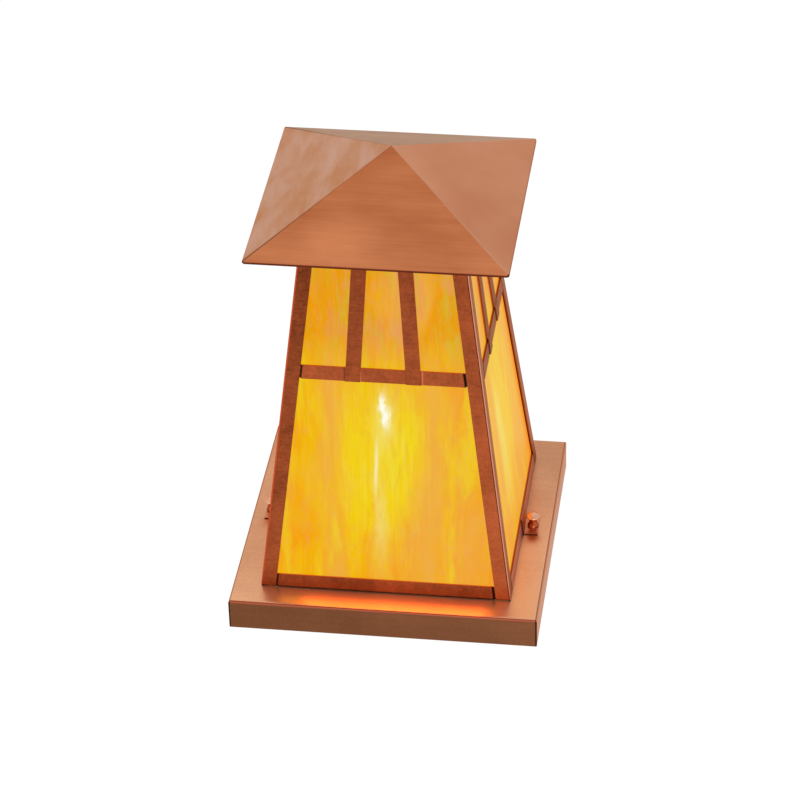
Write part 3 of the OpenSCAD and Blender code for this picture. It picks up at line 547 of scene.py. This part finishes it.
def pan_copper():
    finish = Finish("base pan copper")
    x, y, z = finish.place()
    nx, ny, nz = finish.facing()
    clouds = finish.clouds(11, 4, distortion=0.5)
    brush = finish.noise(x * 9, y * 240, z * 240, detail=4)
    grain = finish.clouds(380, 2)
    tone = clouds.ramp(0.3, 0.7) * 0.6 + (brush - 0.5) * 0.4 + (grain - 0.5) * 0.5 + 0.2
    brighter_in_front = (0 - y).ramp(-0.1, 0.13) * 0.7
    top = finish.mix(tone + brighter_in_front - 0.3, colour(210, 152, 116), colour(250, 188, 144))
    # The walls are painted with light and shade: darker brown facing front and back, paler tan facing the
    # sides.
    brown = finish.mix(tone + x.ramp(-0.13, 0.0) * 0.3 - 0.15, colour(108, 66, 42), colour(142, 90, 60))
    tan = finish.mix(tone, colour(200, 160, 130), colour(224, 190, 164))
    sideways = abs(nx).exceeds(abs(ny))
    wall = finish.mix(sideways, brown, tan)
    bend = finish.mix(sideways, finish.bands(nz, FRONT_BEND_SHADING), finish.bands(nz, SIDE_BEND_SHADING))
    shade = finish.mix(nz.ramp(0.02, 0.12), wall, bend)
    shade = finish.mix(nz.ramp(0.95, 0.99), shade, top)
    stain = abs(x).bell(STAIN_X, 0.006) * y.bell(STAIN_Y, 0.007) * clouds.ramp(0.2, 0.6)
    shade = finish.mix(stain * 0.9, shade, colour(196, 100, 56))
    underside = finish.mix(tone, colour(156, 98, 68), colour(190, 132, 98))
    shade = finish.mix((0 - nz).ramp(0.5, 0.8), shade, underside)
    # The corner notches are painted dark, as shade.
    in_notch = (abs(x).ramp(PAN_HALF - NOTCH, PAN_HALF - 0.7 * NOTCH)
                * abs(y).ramp(PAN_HALF - NOTCH, PAN_HALF - 0.7 * NOTCH))
    shade = finish.mix(in_notch, shade, colour(52, 28, 18))
    finish.metal(shade, (brush - 0.5) * 0.15 + 0.33)
    finish.set(Normal=finish.bump(brush + grain, 0.06))
    return finish


wear("base_pan", pan_copper())
print("the pan is", round(2 * PAN_HALF, 3), "m across")

# %% [markdown]
# ## The fixing tabs
# The two tabs are small angles that hold the lantern down. They are as bright as the pan, but their sheared
# ends are dark, and the upper edge is a dull grey.


# %% Tabs
def tab_copper():
    finish = Finish("tab copper")
    z = finish.place()[2]
    ny, nz = finish.facing()[1:]
    clouds = finish.clouds(60, 4)
    shade = finish.mix(clouds.ramp(0.3, 0.7), colour(206, 134, 96), colour(230, 160, 122))
    shade = finish.mix(abs(ny).ramp(0.5, 0.8), shade, colour(96, 50, 34))
    upper_edge = nz.ramp(0.5, 0.8) * z.ramp(0.032, 0.034)
    shade = finish.mix(upper_edge, shade, colour(140, 112, 112))
    finish.metal(shade, (clouds - 0.5) * 0.2 + 0.3)
    return finish


tab_finish = tab_copper()
for side in ("right", "left"):
    wear("tab_" + side, tab_finish)
print("base finished")

# %% [markdown]
# ## The art glass
# The panes are streaky amber glass, lit from behind by the lamp. In the real pane the colour is in the
# glass and the light comes through it. Here the pane gives out the light itself, in its own colours, which
# keeps the picture clean of noise and bakes into the exported model. The streaks are noise stretched
# upwards, in several widths, one for each sort of mark that the pour left in the glass, and a slow sway
# bends them all together, as the glass did when it was soft.

# %% Streaks
LAMP_Z = 0.200


class Pane:
    """One pane's streaks. u runs across the pane, and v sways a little with the glass."""

    def __init__(self, side, seed):
        self.finish = Finish(side + " art glass")
        self.seed = seed
        x, y, self.z = self.finish.place()
        self.u = self.v = across_side(side, x, y)
        self.v = self.u + (self.streaks(14, 12, 2, 3) - 0.5) * 0.012
        self.bands = self.streaks(24, 6, 0, 3, 0.4)
        self.folds = self.streaks(52, 11, 4, 5, 0.6, 0.65)
        self.veils = self.streaks(95, 19, 7, 5, 0.7, 0.65)
        self.blots = self.streaks(30, 20, 13, 4, 0.6)
        self.rivers = self.streaks(40, 8, 9, 5, 0.35, 0.6)
        self.specks = self.streaks(190, 75, 17, 4, 0.0, 0.7)
        self.hairs = self.finish.noise(self.u * 330, self.z * 26, seed + 21, detail=4, distortion=0.2)
        self.sunny = self.u.bell(-0.004, 0.046) * self.z.bell(0.155, 0.085)

    def streaks(self, across, up, layer, detail, distortion=0.0, roughness=0.5):
        """Noise that changes across times in a metre of width and up times in a metre of height."""
        return self.finish.noise(self.v * across + self.seed, self.z * up, self.seed + layer,
                                 detail, distortion, roughness)


print("a side is", round(2 * half_side(LAMP_Z), 3), "m wide at the lamp's height")

# %% [markdown]
# ## The colours in the glass
# A dozen colours are laid over each other, each with a mask made from one sort of streak. Below the middle
# bar the pane is gold at the sides, yellow round the lamp and amber at the foot. Above it the glass turns
# to honey, with pink, rose and olive. Each part is a function of its own, so it can be tuned by itself.

# %% Colours in the glass
GOLD = colour(243, 180, 0)
YELLOW = colour(244, 214, 4)
AMBER = colour(247, 152, 14)
PEACH = colour(240, 172, 66)
CREAM = colour(240, 228, 130)
PINK_GLASS = colour(230, 162, 104)
OLIVE = colour(206, 182, 44)
HONEY = colour(236, 152, 2)
LEMON = colour(240, 220, 30)
ROSE = colour(236, 150, 92)
EMBER = colour(250, 142, 8)
WHITE = colour(255, 253, 232)
POURED_LEFT = -0.045
POURED_RIGHT = 0.039


def lower_colours(pane):
    """Gold, peach to the right, amber at the edges and foot, yellow round the lamp, and poured bands."""
    mix, u, v, z = pane.finish.mix, pane.u, pane.v, pane.z
    edge = (abs(u) / half_side(z)).ramp(0.5, 0.95)
    low = 1 - z.ramp(0.045, 0.125)
    poured = (v.bell(POURED_LEFT, 0.009) + v.bell(POURED_RIGHT, 0.01)) * (pane.folds + 0.35)
    tint = mix((pane.bands.ramp(0.47, 0.62) * 0.6 + u.ramp(0.0, 0.06) * 0.4).clipped(), GOLD, PEACH)
    tint = mix((edge * 0.4 + low * 0.5 + (pane.blots - 0.5) * 2.6).clipped() * 0.8, tint, AMBER)
    tint = mix((pane.sunny * 1.3 + (pane.folds - 0.52) * 3.0).clipped() * 0.85, tint, YELLOW)
    river = pane.rivers.ramp(0.5, 0.6) * (0.4 - pane.sunny * 0.2)
    tint = mix((river + poured * 0.6).clipped(), tint, PEACH)
    return mix((0.45 - pane.rivers).ramp(0.0, 0.1) * 0.5, tint, LEMON)


def upper_colours(pane):
    """Honey and peach above the middle bar, with amber, pink, rose and olive streaks."""
    mix = pane.finish.mix
    tint = mix(pane.bands.ramp(0.48, 0.62), HONEY, PEACH)
    tint = mix(pane.folds.ramp(0.5, 0.62) * 0.75, tint, AMBER)
    tint = mix(pane.blots.ramp(0.54, 0.66) * 0.6, tint, PINK_GLASS)
    tint = mix(pane.rivers.ramp(0.5, 0.58) * 0.6, tint, ROSE)
    tint = mix(pane.veils.ramp(0.5, 0.64) * 0.75, tint, OLIVE)
    return mix(pane.hairs.ramp(0.5, 0.68) * 0.35, tint, OLIVE)


def fine_streaks(pane, tint):
    """The thinner veils, specks and hairs that run through the whole pane."""
    mix = pane.finish.mix
    tint = mix(pane.veils.ramp(0.55, 0.72) * 0.4, tint, PEACH)
    tint = mix((0.44 - pane.veils).ramp(0.0, 0.14) * 0.5, tint, GOLD)
    tint = mix(pane.specks.ramp(0.55, 0.75) * (1 - pane.sunny) * 0.45, tint, PINK_GLASS)
    tint = mix((0.45 - pane.specks).ramp(0.0, 0.2) * 0.4, tint, OLIVE)
    tint = mix(pane.sunny * pane.hairs.ramp(0.5, 0.75) * 0.25, tint, CREAM)
    return mix((0.45 - pane.hairs).ramp(0.0, 0.2) * 0.2, tint, HONEY)


print("yellow glass gives out", [round(part, 3) for part in YELLOW[:3]])

# %% [markdown]
# ## The lamp behind the glass
# The lamp shows through the front and back panes as a small ragged white spot in a cream halo, with a thin
# straight tail below it, where a ridge in the glass catches the light. The side panes show no lamp: they
# look washed out, with one pale streak and a red-hot edge to the right. A real lamp behind real glass would
# be slow to trace, so all of these are bells and ramps, made ragged by the streaks.

# %% Lamp in the glass
TAIL_Z = 0.148
MIDDLE_BAR = (0.236, 0.27)


def lamp_shine(pane, tint, spot):
    """Lays the halo, the white core and the tail on the pane; spot is how strong they are."""
    u, z = pane.u, pane.z
    ragged = (pane.folds - 0.5) * 0.012 + (pane.specks - 0.5) * 0.012 + u
    halo = ragged.bell(0.001, 0.009) * z.bell(LAMP_Z - 0.01, 0.026)
    core = (ragged.bell(-0.001, 0.0022) * z.bell(LAMP_Z + 0.007, 0.008)
            + ragged.bell(0.002, 0.003) * z.bell(LAMP_Z - 0.006, 0.008))
    ridge = u + (pane.folds - 0.5) * 0.004 - (z - TAIL_Z) * 0.03
    tail = ridge.bell(-0.007, 0.0015) * z.bell(TAIL_Z, 0.022)
    foot_of_tail = ragged.bell(-0.003, 0.005) * z.bell(0.096, 0.036) * 0.5
    tint = pane.finish.mix((halo * 0.55 + tail * 0.6 + foot_of_tail) * spot, tint, CREAM)
    return pane.finish.mix((core * 1.25 + tail * 0.4).clipped() * spot, tint, WHITE)


def side_glow(pane, tint):
    """The pale streak and the red-hot right edge of a side pane."""
    streak = pane.v.bell(-0.026, 0.012) * pane.z.ramp(0.06, 0.12) * (1 - pane.z.ramp(0.17, 0.21))
    tint = pane.finish.mix(streak * 0.4, tint, CREAM)
    return pane.finish.mix((pane.u / half_side(pane.z)).ramp(0.68, 0.86) * 0.9, tint, EMBER)


def art_glass(side, seed, spot, washed):
    """A pane's finish; washed is how far its colours are washed out."""
    pane = Pane(side, seed)
    above_bar = pane.z.ramp(*MIDDLE_BAR) * 0.9
    tint = pane.finish.mix(above_bar, lower_colours(pane), upper_colours(pane))
    tint = pane.finish.mix(washed, fine_streaks(pane, tint), PEACH)
    if washed > 0:
        tint = side_glow(pane, tint)
    tint = lamp_shine(pane, tint, spot)
    body = pane.finish.mix(0.12, (0.0, 0.0, 0.0, 1.0), tint)
    pane.finish.set(Base_Color=body, Roughness=0.5, Specular_IOR_Level=0.05)
    pane.finish.set(Emission_Color=tint, Emission_Strength=0.89)
    return pane.finish


wear("glass_front", art_glass("front", seed=3.0, spot=1.0, washed=0.0))
wear("glass_back", art_glass("back", seed=31.0, spot=0.8, washed=0.0))
wear("glass_right", art_glass("right", seed=57.0, spot=0.0, washed=0.3))
wear("glass_left", art_glass("left", seed=83.0, spot=0.0, washed=0.3))
print("glass finished")

# %% [markdown]
# ## The small metal
# These pieces hide under the pan and behind the glass until the lantern is lifted off. Each still gets the
# finish that it has on the bench: zinc with faint cloudy spangles, drawn brass, green enamel on the earth
# screw. Cloudy noise between two near colours is enough for them, because no brushing shows at their size.


# %% Small metal
def plain_metal(name, deep, pale, rough, cloud=160.0):
    finish = Finish(name)
    clouds = finish.clouds(cloud, 3)
    finish.set(Base_Color=finish.mix(clouds.ramp(0.3, 0.7), deep, pale), Metallic=1.0)
    finish.set(Roughness=(clouds - 0.5) * 0.2 + rough)
    return finish


zinc = plain_metal("zinc plate", colour(168, 170, 176), colour(206, 208, 212), 0.35)
brass = plain_metal("drawn brass", colour(186, 146, 74), colour(214, 178, 104), 0.3)
ZINC_PIECES = ("crossbar", "nipple", "lock_nuts", "flat_washers", "clinch_nuts", "holder_bracket",
               "holder_screws", "screw_shank_right", "screw_shank_left")
BRASS_PIECES = ("screw_shell", "centre_contact", "contact_rivet", "terminal_screws")
for name in ZINC_PIECES:
    wear(name, zinc)
for name in BRASS_PIECES:
    wear(name, brass)
wear("ground_screw", plain_metal("green earth screw", colour(30, 96, 44), colour(46, 124, 62), 0.4))
wear("lamp_contact", plain_metal("solder", colour(150, 152, 156), colour(190, 192, 196), 0.4))
cap_metal = plain_metal("rolled cap metal", colour(176, 176, 178), colour(196, 196, 196), 0.22, 60)
wear("lamp_cap", cap_metal)
wear("lamp_filament", plain_metal("support wire", colour(150, 146, 136), colour(190, 184, 170), 0.4))
print("zinc:", len(ZINC_PIECES), "brass:", len(BRASS_PIECES))

# %% [markdown]
# ## The thumb screws' knobs
# They were turned from copper rod and polished. The neck and foot are painted dark red, as a reflection of
# the dark surroundings, and the head is painted pale, as a reflection of the light, so the finish changes
# at the height where the head begins.

# %% Knobs
KNOB_HEAD = 0.0036


def knob_copper():
    finish = Finish("knob copper")
    z = finish.place()[2]
    clouds = finish.clouds(200, 3)
    # Painted reflections: a pale head that catches the light, and a dark neck below it.
    head = finish.mix(clouds.ramp(0.3, 0.7), colour(232, 166, 130), colour(248, 196, 164))
    neck = finish.mix(clouds.ramp(0.3, 0.7), colour(150, 72, 44), colour(182, 100, 66))
    under_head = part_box("thumb_knob_right")[1].z - KNOB_HEAD
    shade = finish.mix(z.ramp(under_head, under_head + 0.0008), neck, head)
    finish.metal(shade, (clouds - 0.5) * 0.1 + 0.22, 1.0)
    return finish


knob_finish = knob_copper()
for side in ("right", "left"):
    wear("thumb_knob_" + side, knob_finish)
print("knobs finished")

# %% [markdown]
# ## Porcelain and the lamp's glass
# The lampholder's body is white glazed porcelain and the lamp's foot is black glass: both are a hard body
# under a clear coat. The bulb is frosted, so it glows all over, brightest round the filament. A real glass
# shader would need light traced through it and wouldn't bake, and a frosted bulb shows nothing behind it.


# %% Porcelain and bulb
def glazed(name, deep, pale, rough):
    finish = Finish(name)
    shade = finish.mix(finish.clouds(60, 2).ramp(0.3, 0.7), deep, pale)
    finish.set(Base_Color=shade, Roughness=rough, Coat_Weight=0.6)
    return finish


def bulb_glass(name, strength, alpha):
    finish = Finish(name)
    round_filament = finish.place()[2].bell(0.145, 0.04)
    lit = finish.mix(round_filament, colour(250, 214, 150), colour(255, 248, 226))
    finish.set(Base_Color=colour(236, 230, 214), Roughness=0.3, Alpha=alpha)
    finish.set(Emission_Color=lit, Emission_Strength=strength)
    return finish


wear("holder_body", glazed("glazed porcelain", colour(232, 229, 220), colour(242, 240, 234), 0.18))
wear("lamp_insulator", glazed("black glass", colour(16, 16, 18), colour(28, 28, 30), 0.2))
wear("lamp_bulb", bulb_glass("frosted bulb glass", 0.42, 1.0))
wear("lamp_stem", bulb_glass("stem glass", 0.3, 0.5))
print("small parts finished")

# %% [markdown]
# ## Eased edges
# Sheared and folded sheet never keeps a perfectly sharp edge: the last work on each strip was a file. A
# thin bevel all round gives every edge a line of light, and turns each hip of the roof into a fine groove.
# The solids stay as they are, and an eased copy takes each one's place. A solid comes in as loose triangles
# with their own shading directions, so the copy is first joined up again, and its flat faces made whole.

# %% Eased copies
SAME_POINT = 0.002
FLAT_ANGLE = math.radians(0.3)
EDGE_ANGLE = math.radians(40)
SMOOTH_ANGLE = math.radians(32)


def only(piece):
    """Makes one object the active and only selected one."""
    bpy.ops.object.select_all(action="DESELECT")
    piece.select_set(True)
    bpy.context.view_layer.objects.active = piece


def shape_up(piece, modifier, **settings):
    """Adds a modifier, sets it and applies it."""
    only(piece)
    added = piece.modifiers.new(modifier.lower(), modifier)
    for key, value in settings.items():
        setattr(added, key, value)
    bpy.ops.object.modifier_apply(modifier=added.name)


def eased(name, body, width):
    """Puts a copy of one solid, with edges softened by a width in millimetres, in its place."""
    solid = nodes[name]
    piece = solid.copy()
    piece.data = solid.data.copy()
    piece.name = name + "_eased"
    bpy.context.scene.collection.objects.link(piece)
    piece.parent = None
    piece.data.transform(solid.matrix_world)
    piece.matrix_world = Matrix.Identity(4)
    only(piece)
    bpy.ops.mesh.customdata_custom_splitnormals_clear()
    bpy.ops.object.mode_set(mode="EDIT")
    bpy.ops.mesh.select_all(action="SELECT")
    bpy.ops.mesh.remove_doubles(threshold=SAME_POINT * MM)
    bpy.ops.mesh.dissolve_limited(angle_limit=FLAT_ANGLE)
    bpy.ops.mesh.normals_make_consistent(inside=False)
    bpy.ops.object.mode_set(mode="OBJECT")
    shape_up(piece, "BEVEL", width=width * MM, segments=2, limit_method="ANGLE", angle_limit=EDGE_ANGLE)
    bpy.ops.object.shade_smooth_by_angle(angle=SMOOTH_ANGLE)
    shape_up(piece, "WEIGHTED_NORMAL", weight=100, keep_sharp=True)
    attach(piece, body)
    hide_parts(name)
    return piece


copies = [eased("roof_" + side, "lantern", 0.35) for side in SIDES]
for strip_name in ("foot_rail_", "mid_bar_", "bars_"):
    copies += [eased(strip_name + side, "lantern", 0.15) for side in SIDES]
copies += [eased("post_" + corner, "lantern", 0.15) for corner in CORNERS]
copies += [eased("tab_" + side, "lantern", 0.2) for side in ("right", "left")]
copies.append(eased("base_pan", "base", 0.2))
copies.append(eased("crossbar", "base", 0.3))
copies.append(eased("holder_bracket", "base", 0.2))
copies.append(eased("holder_body", "base", 0.4))
print("eased", len(copies), "pieces")

# %% [markdown]
# ## Rods divided into rings
# A thread is a groove that climbs as it goes round. It could be spun from its section, but then its ends
# are hard to close. Here it starts as a whole rod, whose wall is divided into rings and columns, so that
# the groove can be pressed into it and the ends stay closed. Sizes here are in millimetres, as on a
# screw's drawing.


# %% Divided rods
def divided_rod(name, middle, low, high, radius, columns, sections, rings, ends="NGON"):
    """A rod whose wall is divided into sections, and each section into rings. It takes two steps,
    because one subdivision makes a hundred cuts at most."""
    bpy.ops.object.select_all(action="DESELECT")
    bpy.ops.mesh.primitive_cylinder_add(vertices=columns, radius=radius * MM, depth=(high - low) * MM,
                                        end_fill_type=ends)
    rod = bpy.context.object
    rod.name = name
    rod.data.transform(Matrix.Translation((middle[0] * MM, middle[1] * MM, (low + high) / 2 * MM)))
    bpy.ops.object.mode_set(mode="EDIT")
    bpy.ops.mesh.select_mode(type="EDGE")
    for parts in (sections, rings):
        bpy.ops.mesh.select_all(action="DESELECT")
        mesh = bmesh.from_edit_mesh(rod.data)
        for edge in mesh.edges:
            if abs(edge.verts[0].co.z - edge.verts[1].co.z) > 0.01 * MM:
                edge.select = True
        bpy.ops.mesh.subdivide(number_cuts=parts - 1)
    bpy.ops.mesh.select_mode(type="VERT")
    bpy.ops.object.mode_set(mode="OBJECT")
    return rod


def select_points(piece, wanted):
    """In edit mode, selects the points whose place is wanted, and no others."""
    bpy.ops.mesh.select_all(action="DESELECT")
    mesh = bmesh.from_edit_mesh(piece.data)
    for point in mesh.verts:
        point.select = wanted(point.co)
    mesh.select_flush_mode()


def draw_in(rod, middle, wanted, size):
    """Scales the wanted points of a rod towards its axis."""
    only(rod)
    bpy.ops.object.mode_set(mode="EDIT")
    select_points(rod, wanted)
    axis = (middle[0] * MM, middle[1] * MM, 0)
    bpy.ops.transform.resize(value=(size, size, 1), center_override=axis)
    bpy.ops.object.mode_set(mode="OBJECT")


def dress(piece, name, body):
    """Gives a new piece the finish and the place of the solid that it stands for."""
    piece.data.materials.clear()
    piece.data.materials.append(nodes[name].data.materials[0])
    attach(piece, body)
    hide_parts(name)
    print(piece.name, len(piece.data.polygons), "faces")


# %% [markdown]
# ## Threads
# The points that lie on the groove are those where the turn and the height agree, so they can be picked by
# that rule and drawn in towards the axis, a step at a time: first the slopes, and last the root. The same
# rule cuts the thumb screws and the nipple, and rolls the rounder thread into the lamp's sheet cap.


# %% Thread
class Thread:
    """A right-handed thread: its crest and root are radii, and steps is how many sizes its groove has."""

    def __init__(self, crest, root, pitch, steps):
        self.crest = crest
        self.root = root
        self.pitch = pitch
        self.steps = steps

    def half_turns(self, low, high):
        return round((high - low) / self.pitch * 2)

    def cut(self, rod, middle, low, high):
        """Cuts the groove into a rod's wall between two heights."""
        def depth(place):
            """How many steps deep in the groove a point lies, or 0 off the wall."""
            across, along = place.x - middle[0] * MM, place.y - middle[1] * MM
            turn = (place.z / MM / self.pitch - math.atan2(along, across) / math.tau) % 1
            on_wall = math.hypot(across, along) > 0.8 * self.root * MM
            inside = (low + 0.1) * MM < place.z < (high - 0.1) * MM
            return round((1 - abs(2 * turn - 1)) * (self.steps - 1)) if on_wall and inside else 0

        for step in range(1, self.steps):
            size = 1 - (1 - self.root / self.crest) * step / (self.steps - 1)
            draw_in(rod, middle, lambda place: depth(place) == step, size)
        only(rod)
        bpy.ops.object.shade_smooth_by_angle(angle=math.radians(50))


SCREW = Thread(crest=2.38, root=1.9, pitch=1.058, steps=4)
NIPPLE = Thread(crest=5.08, root=4.6, pitch=25.4 / 27, steps=4)
CAP = Thread(crest=13.08, root=12.5, pitch=25.4 / 7, steps=5)
print("pitches:", [round(thread.pitch, 3) for thread in (SCREW, NIPPLE, CAP)], "mm")

# %% [markdown]
# ## The thumb screws' shanks
# The thread stops just under the knob, where the shank gets thinner and goes into it, and the lower end is
# tapered so that the screw finds its nut.

# %% Shanks
KNOB_FOOT = 29.2
SPIGOT = 1.78
TAPER = 0.75
for side in ("right", "left"):
    low, high = [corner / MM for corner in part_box("screw_shank_" + side)]
    middle = ((low.x + high.x) / 2, 0)
    shank = divided_rod("threaded_shank_" + side, middle, low.z, high.z, SCREW.crest, columns=24,
                        sections=SCREW.half_turns(low.z, high.z), rings=4)
    SCREW.cut(shank, middle, low.z, KNOB_FOOT - 0.2)
    draw_in(shank, middle, lambda place: place.z > (KNOB_FOOT - 0.12) * MM, SPIGOT / SCREW.crest)
    draw_in(shank, middle, lambda place: abs(place.z - low.z * MM) < 0.01 * MM, TAPER)
    dress(shank, "screw_shank_" + side, "shank_" + side)

# %% [markdown]
# ## The nipple
# The nipple is a threaded pipe, and the wires come up through its bore. Both ends of a divided rod are
# inset to the bore's width, and bridging the two inner faces opens it from end to end.

# %% Nipple
BORE = 3.4
low, high = [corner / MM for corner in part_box("nipple")]
nipple = divided_rod("threaded_nipple", (0, 0), low.z, high.z, NIPPLE.crest, columns=32,
                     sections=NIPPLE.half_turns(low.z, high.z), rings=3)
bpy.ops.object.mode_set(mode="EDIT")
bpy.ops.mesh.select_mode(type="FACE")
bpy.ops.mesh.select_all(action="DESELECT")
mesh = bmesh.from_edit_mesh(nipple.data)
for face in mesh.faces:
    if len(face.verts) > 4:
        face.select = True
bpy.ops.mesh.inset(thickness=(NIPPLE.crest - BORE) * MM)
bpy.ops.mesh.bridge_edge_loops()
bpy.ops.mesh.select_mode(type="VERT")
bpy.ops.object.mode_set(mode="OBJECT")
NIPPLE.cut(nipple, (0, 0), low.z, high.z)
dress(nipple, "nipple", "base")

# %% [markdown]
# ## The lamp's cap
# The cap is rolled from thin sheet, so its thread shows inside as well as outside, and it is all one
# thickness. It is made as a skin: the wall gets its thread, the foot is drawn in to the black glass, and
# then the whole skin gets the sheet's thickness on its inner side.

# %% Lamp cap
TURNED_IN = 1
FOOT_RADIUS = 12.1
GLASS_RADIUS = 10
SHEET = 0.15
low, high = [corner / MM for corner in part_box("lamp_cap")]
wall_low = low.z + TURNED_IN
cap = divided_rod("rolled_lamp_cap", (0, 0), wall_low, high.z, CAP.crest, columns=64,
                  sections=CAP.half_turns(wall_low, high.z), rings=5, ends="NOTHING")
CAP.cut(cap, (0, 0), wall_low + 0.5, high.z - 2.5)
bpy.ops.object.mode_set(mode="EDIT")
select_points(cap, lambda place: place.z < (wall_low + 0.01) * MM)
bpy.ops.mesh.extrude_region_move(TRANSFORM_OT_translate={"value": (0, 0, -TURNED_IN * MM)})
narrower = FOOT_RADIUS / CAP.crest
bpy.ops.transform.resize(value=(narrower, narrower, 1), center_override=(0, 0, 0))
bpy.ops.mesh.extrude_region_move()
narrower = GLASS_RADIUS / FOOT_RADIUS
bpy.ops.transform.resize(value=(narrower, narrower, 1), center_override=(0, 0, 0))
bpy.ops.mesh.select_all(action="SELECT")
bpy.ops.mesh.normals_make_consistent(inside=False)
bpy.ops.object.mode_set(mode="OBJECT")
shape_up(cap, "SOLIDIFY", thickness=SHEET * MM, offset=-1)
bpy.ops.object.shade_smooth_by_angle(angle=EDGE_ANGLE)
dress(cap, "lamp_cap", "lamp")

# %% [markdown]
# ## Floor and backdrop
# The lantern stands on a plain floor, and the world behind it is the backdrop. To the camera and in
# reflections the floor gives out almost plain white, with a little of its own shading left for the shadow.
# The world is white to the camera, a little less in reflections, and dimmer still as a light on the
# object, so that a colour renders about as it is written. More light could bleach the floor too, but it
# would bleach the copper with it.

# %% Floor and backdrop
FLOOR_HALF = 6.0
WHITE_SHARE = 0.95
WORLD_LIGHT = 0.6
WORLD_MIRRORED = 0.8


def ray(finish, kind):
    """1 for a ray of one kind, such as one from the camera, and 0 for any other."""
    return finish.node("ShaderNodeLightPath", output="Is " + kind + " Ray")


def mirrored(finish):
    return ray(finish, "Glossy").larger(ray(finish, "Transmission"))


class Backdrop(Finish):
    """The world's own shader, built up in the same way as a finish."""

    def __init__(self, world):
        world.use_nodes = True
        self.tree = world.node_tree
        self.shader = self.tree.nodes["Background"]


bpy.ops.object.select_all(action="DESELECT")
bpy.ops.mesh.primitive_plane_add(size=2 * FLOOR_HALF, location=(0, 0, 0))
floor = bpy.context.object
floor.name = "floor"
matt = Finish("floor")
matt.set(Base_Color=(0.85, 0.85, 0.85, 1), Roughness=0.9)
lit = Wire(matt, matt.shader.outputs[0])
white = matt.node("ShaderNodeEmission", None, {"Strength": 1.03})
seen_white = ray(matt, "Camera").larger(mirrored(matt)) * WHITE_SHARE
surface = matt.node("ShaderNodeMixShader", None, {0: seen_white, 1: lit, 2: white})
matt.feed(matt.tree.nodes["Material Output"].inputs["Surface"], surface)
floor.data.materials.append(matt.material)

bpy.context.scene.world = bpy.data.worlds.new("world")
backdrop = Backdrop(bpy.context.scene.world)
strength = mirrored(backdrop) * (WORLD_MIRRORED - WORLD_LIGHT) + WORLD_LIGHT
backdrop.set(Color=(1, 1, 1, 1), Strength=ray(backdrop, "Camera").larger(strength))
print("floor", 2 * FLOOR_HALF, "m across")

# %% [markdown]
# ## Light
# Two soft boxes light the lantern, a large one overhead and a weak one at the front right. The lit panes
# throw a red-gold gleam on the ledge of the pan. Light from the glass itself would reach it only as grain,
# so a small hidden lamp in front of each pane's foot does that work. It shines straight out and rides with
# the lantern, so the gleam goes when the lantern is lifted off, as the real one does.

# %% Light
MID_HEIGHT = Vector((0, 0, 0.2))
GLOW = (1.0, 0.125, 0.03)
GLOW_FROM_MIDDLE = 0.1083
GLOW_TO_RIGHT = 0.007
GLOW_HEIGHT = 0.055
GLOW_SIZE = (0.156, 0.028)
GLOW_LAMPS = (("front", Vector((0, -1, 0)), 0.07), ("back", Vector((0, 1, 0)), 0.05),
              ("right", Vector((1, 0, 0)), 0.003), ("left", Vector((-1, 0, 0)), 0.003))


def soft_box(name, place, aim, size, power):
    """A square lamp that looks at a point."""
    data = bpy.data.lights.new(name, "AREA")
    data.size = size
    data.energy = power
    lamp = bpy.data.objects.new(name, data)
    bpy.context.scene.collection.objects.link(lamp)
    lamp.location = place
    lamp.rotation_euler = (aim - place).to_track_quat("-Z", "Y").to_euler()
    return lamp


overhead = soft_box("overhead", Vector((-0.4, -0.2, 2.4)), MID_HEIGHT, 1.6, 26)
overhead.visible_glossy = False
soft_box("front", Vector((1.0, -2.2, 1.4)), MID_HEIGHT, 1.2, 9)
for side, out, power in GLOW_LAMPS:
    to_right = Vector((-out.y, out.x, 0))
    place = out * GLOW_FROM_MIDDLE + to_right * GLOW_TO_RIGHT + Vector((0, 0, GLOW_HEIGHT))
    glow = soft_box("glow_" + side, place, place + out, GLOW_SIZE[0], power)
    glow.data.shape = "RECTANGLE"
    glow.data.size_y = GLOW_SIZE[1]
    glow.data.color = GLOW
    glow.visible_camera = False
    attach(glow, "lantern")
bpy.context.scene.view_settings.view_transform = "Standard"
print("lamps:", 2 + len(GLOW_LAMPS))

# %% [markdown]
# ## The last line

# %% The end
print("scene built")
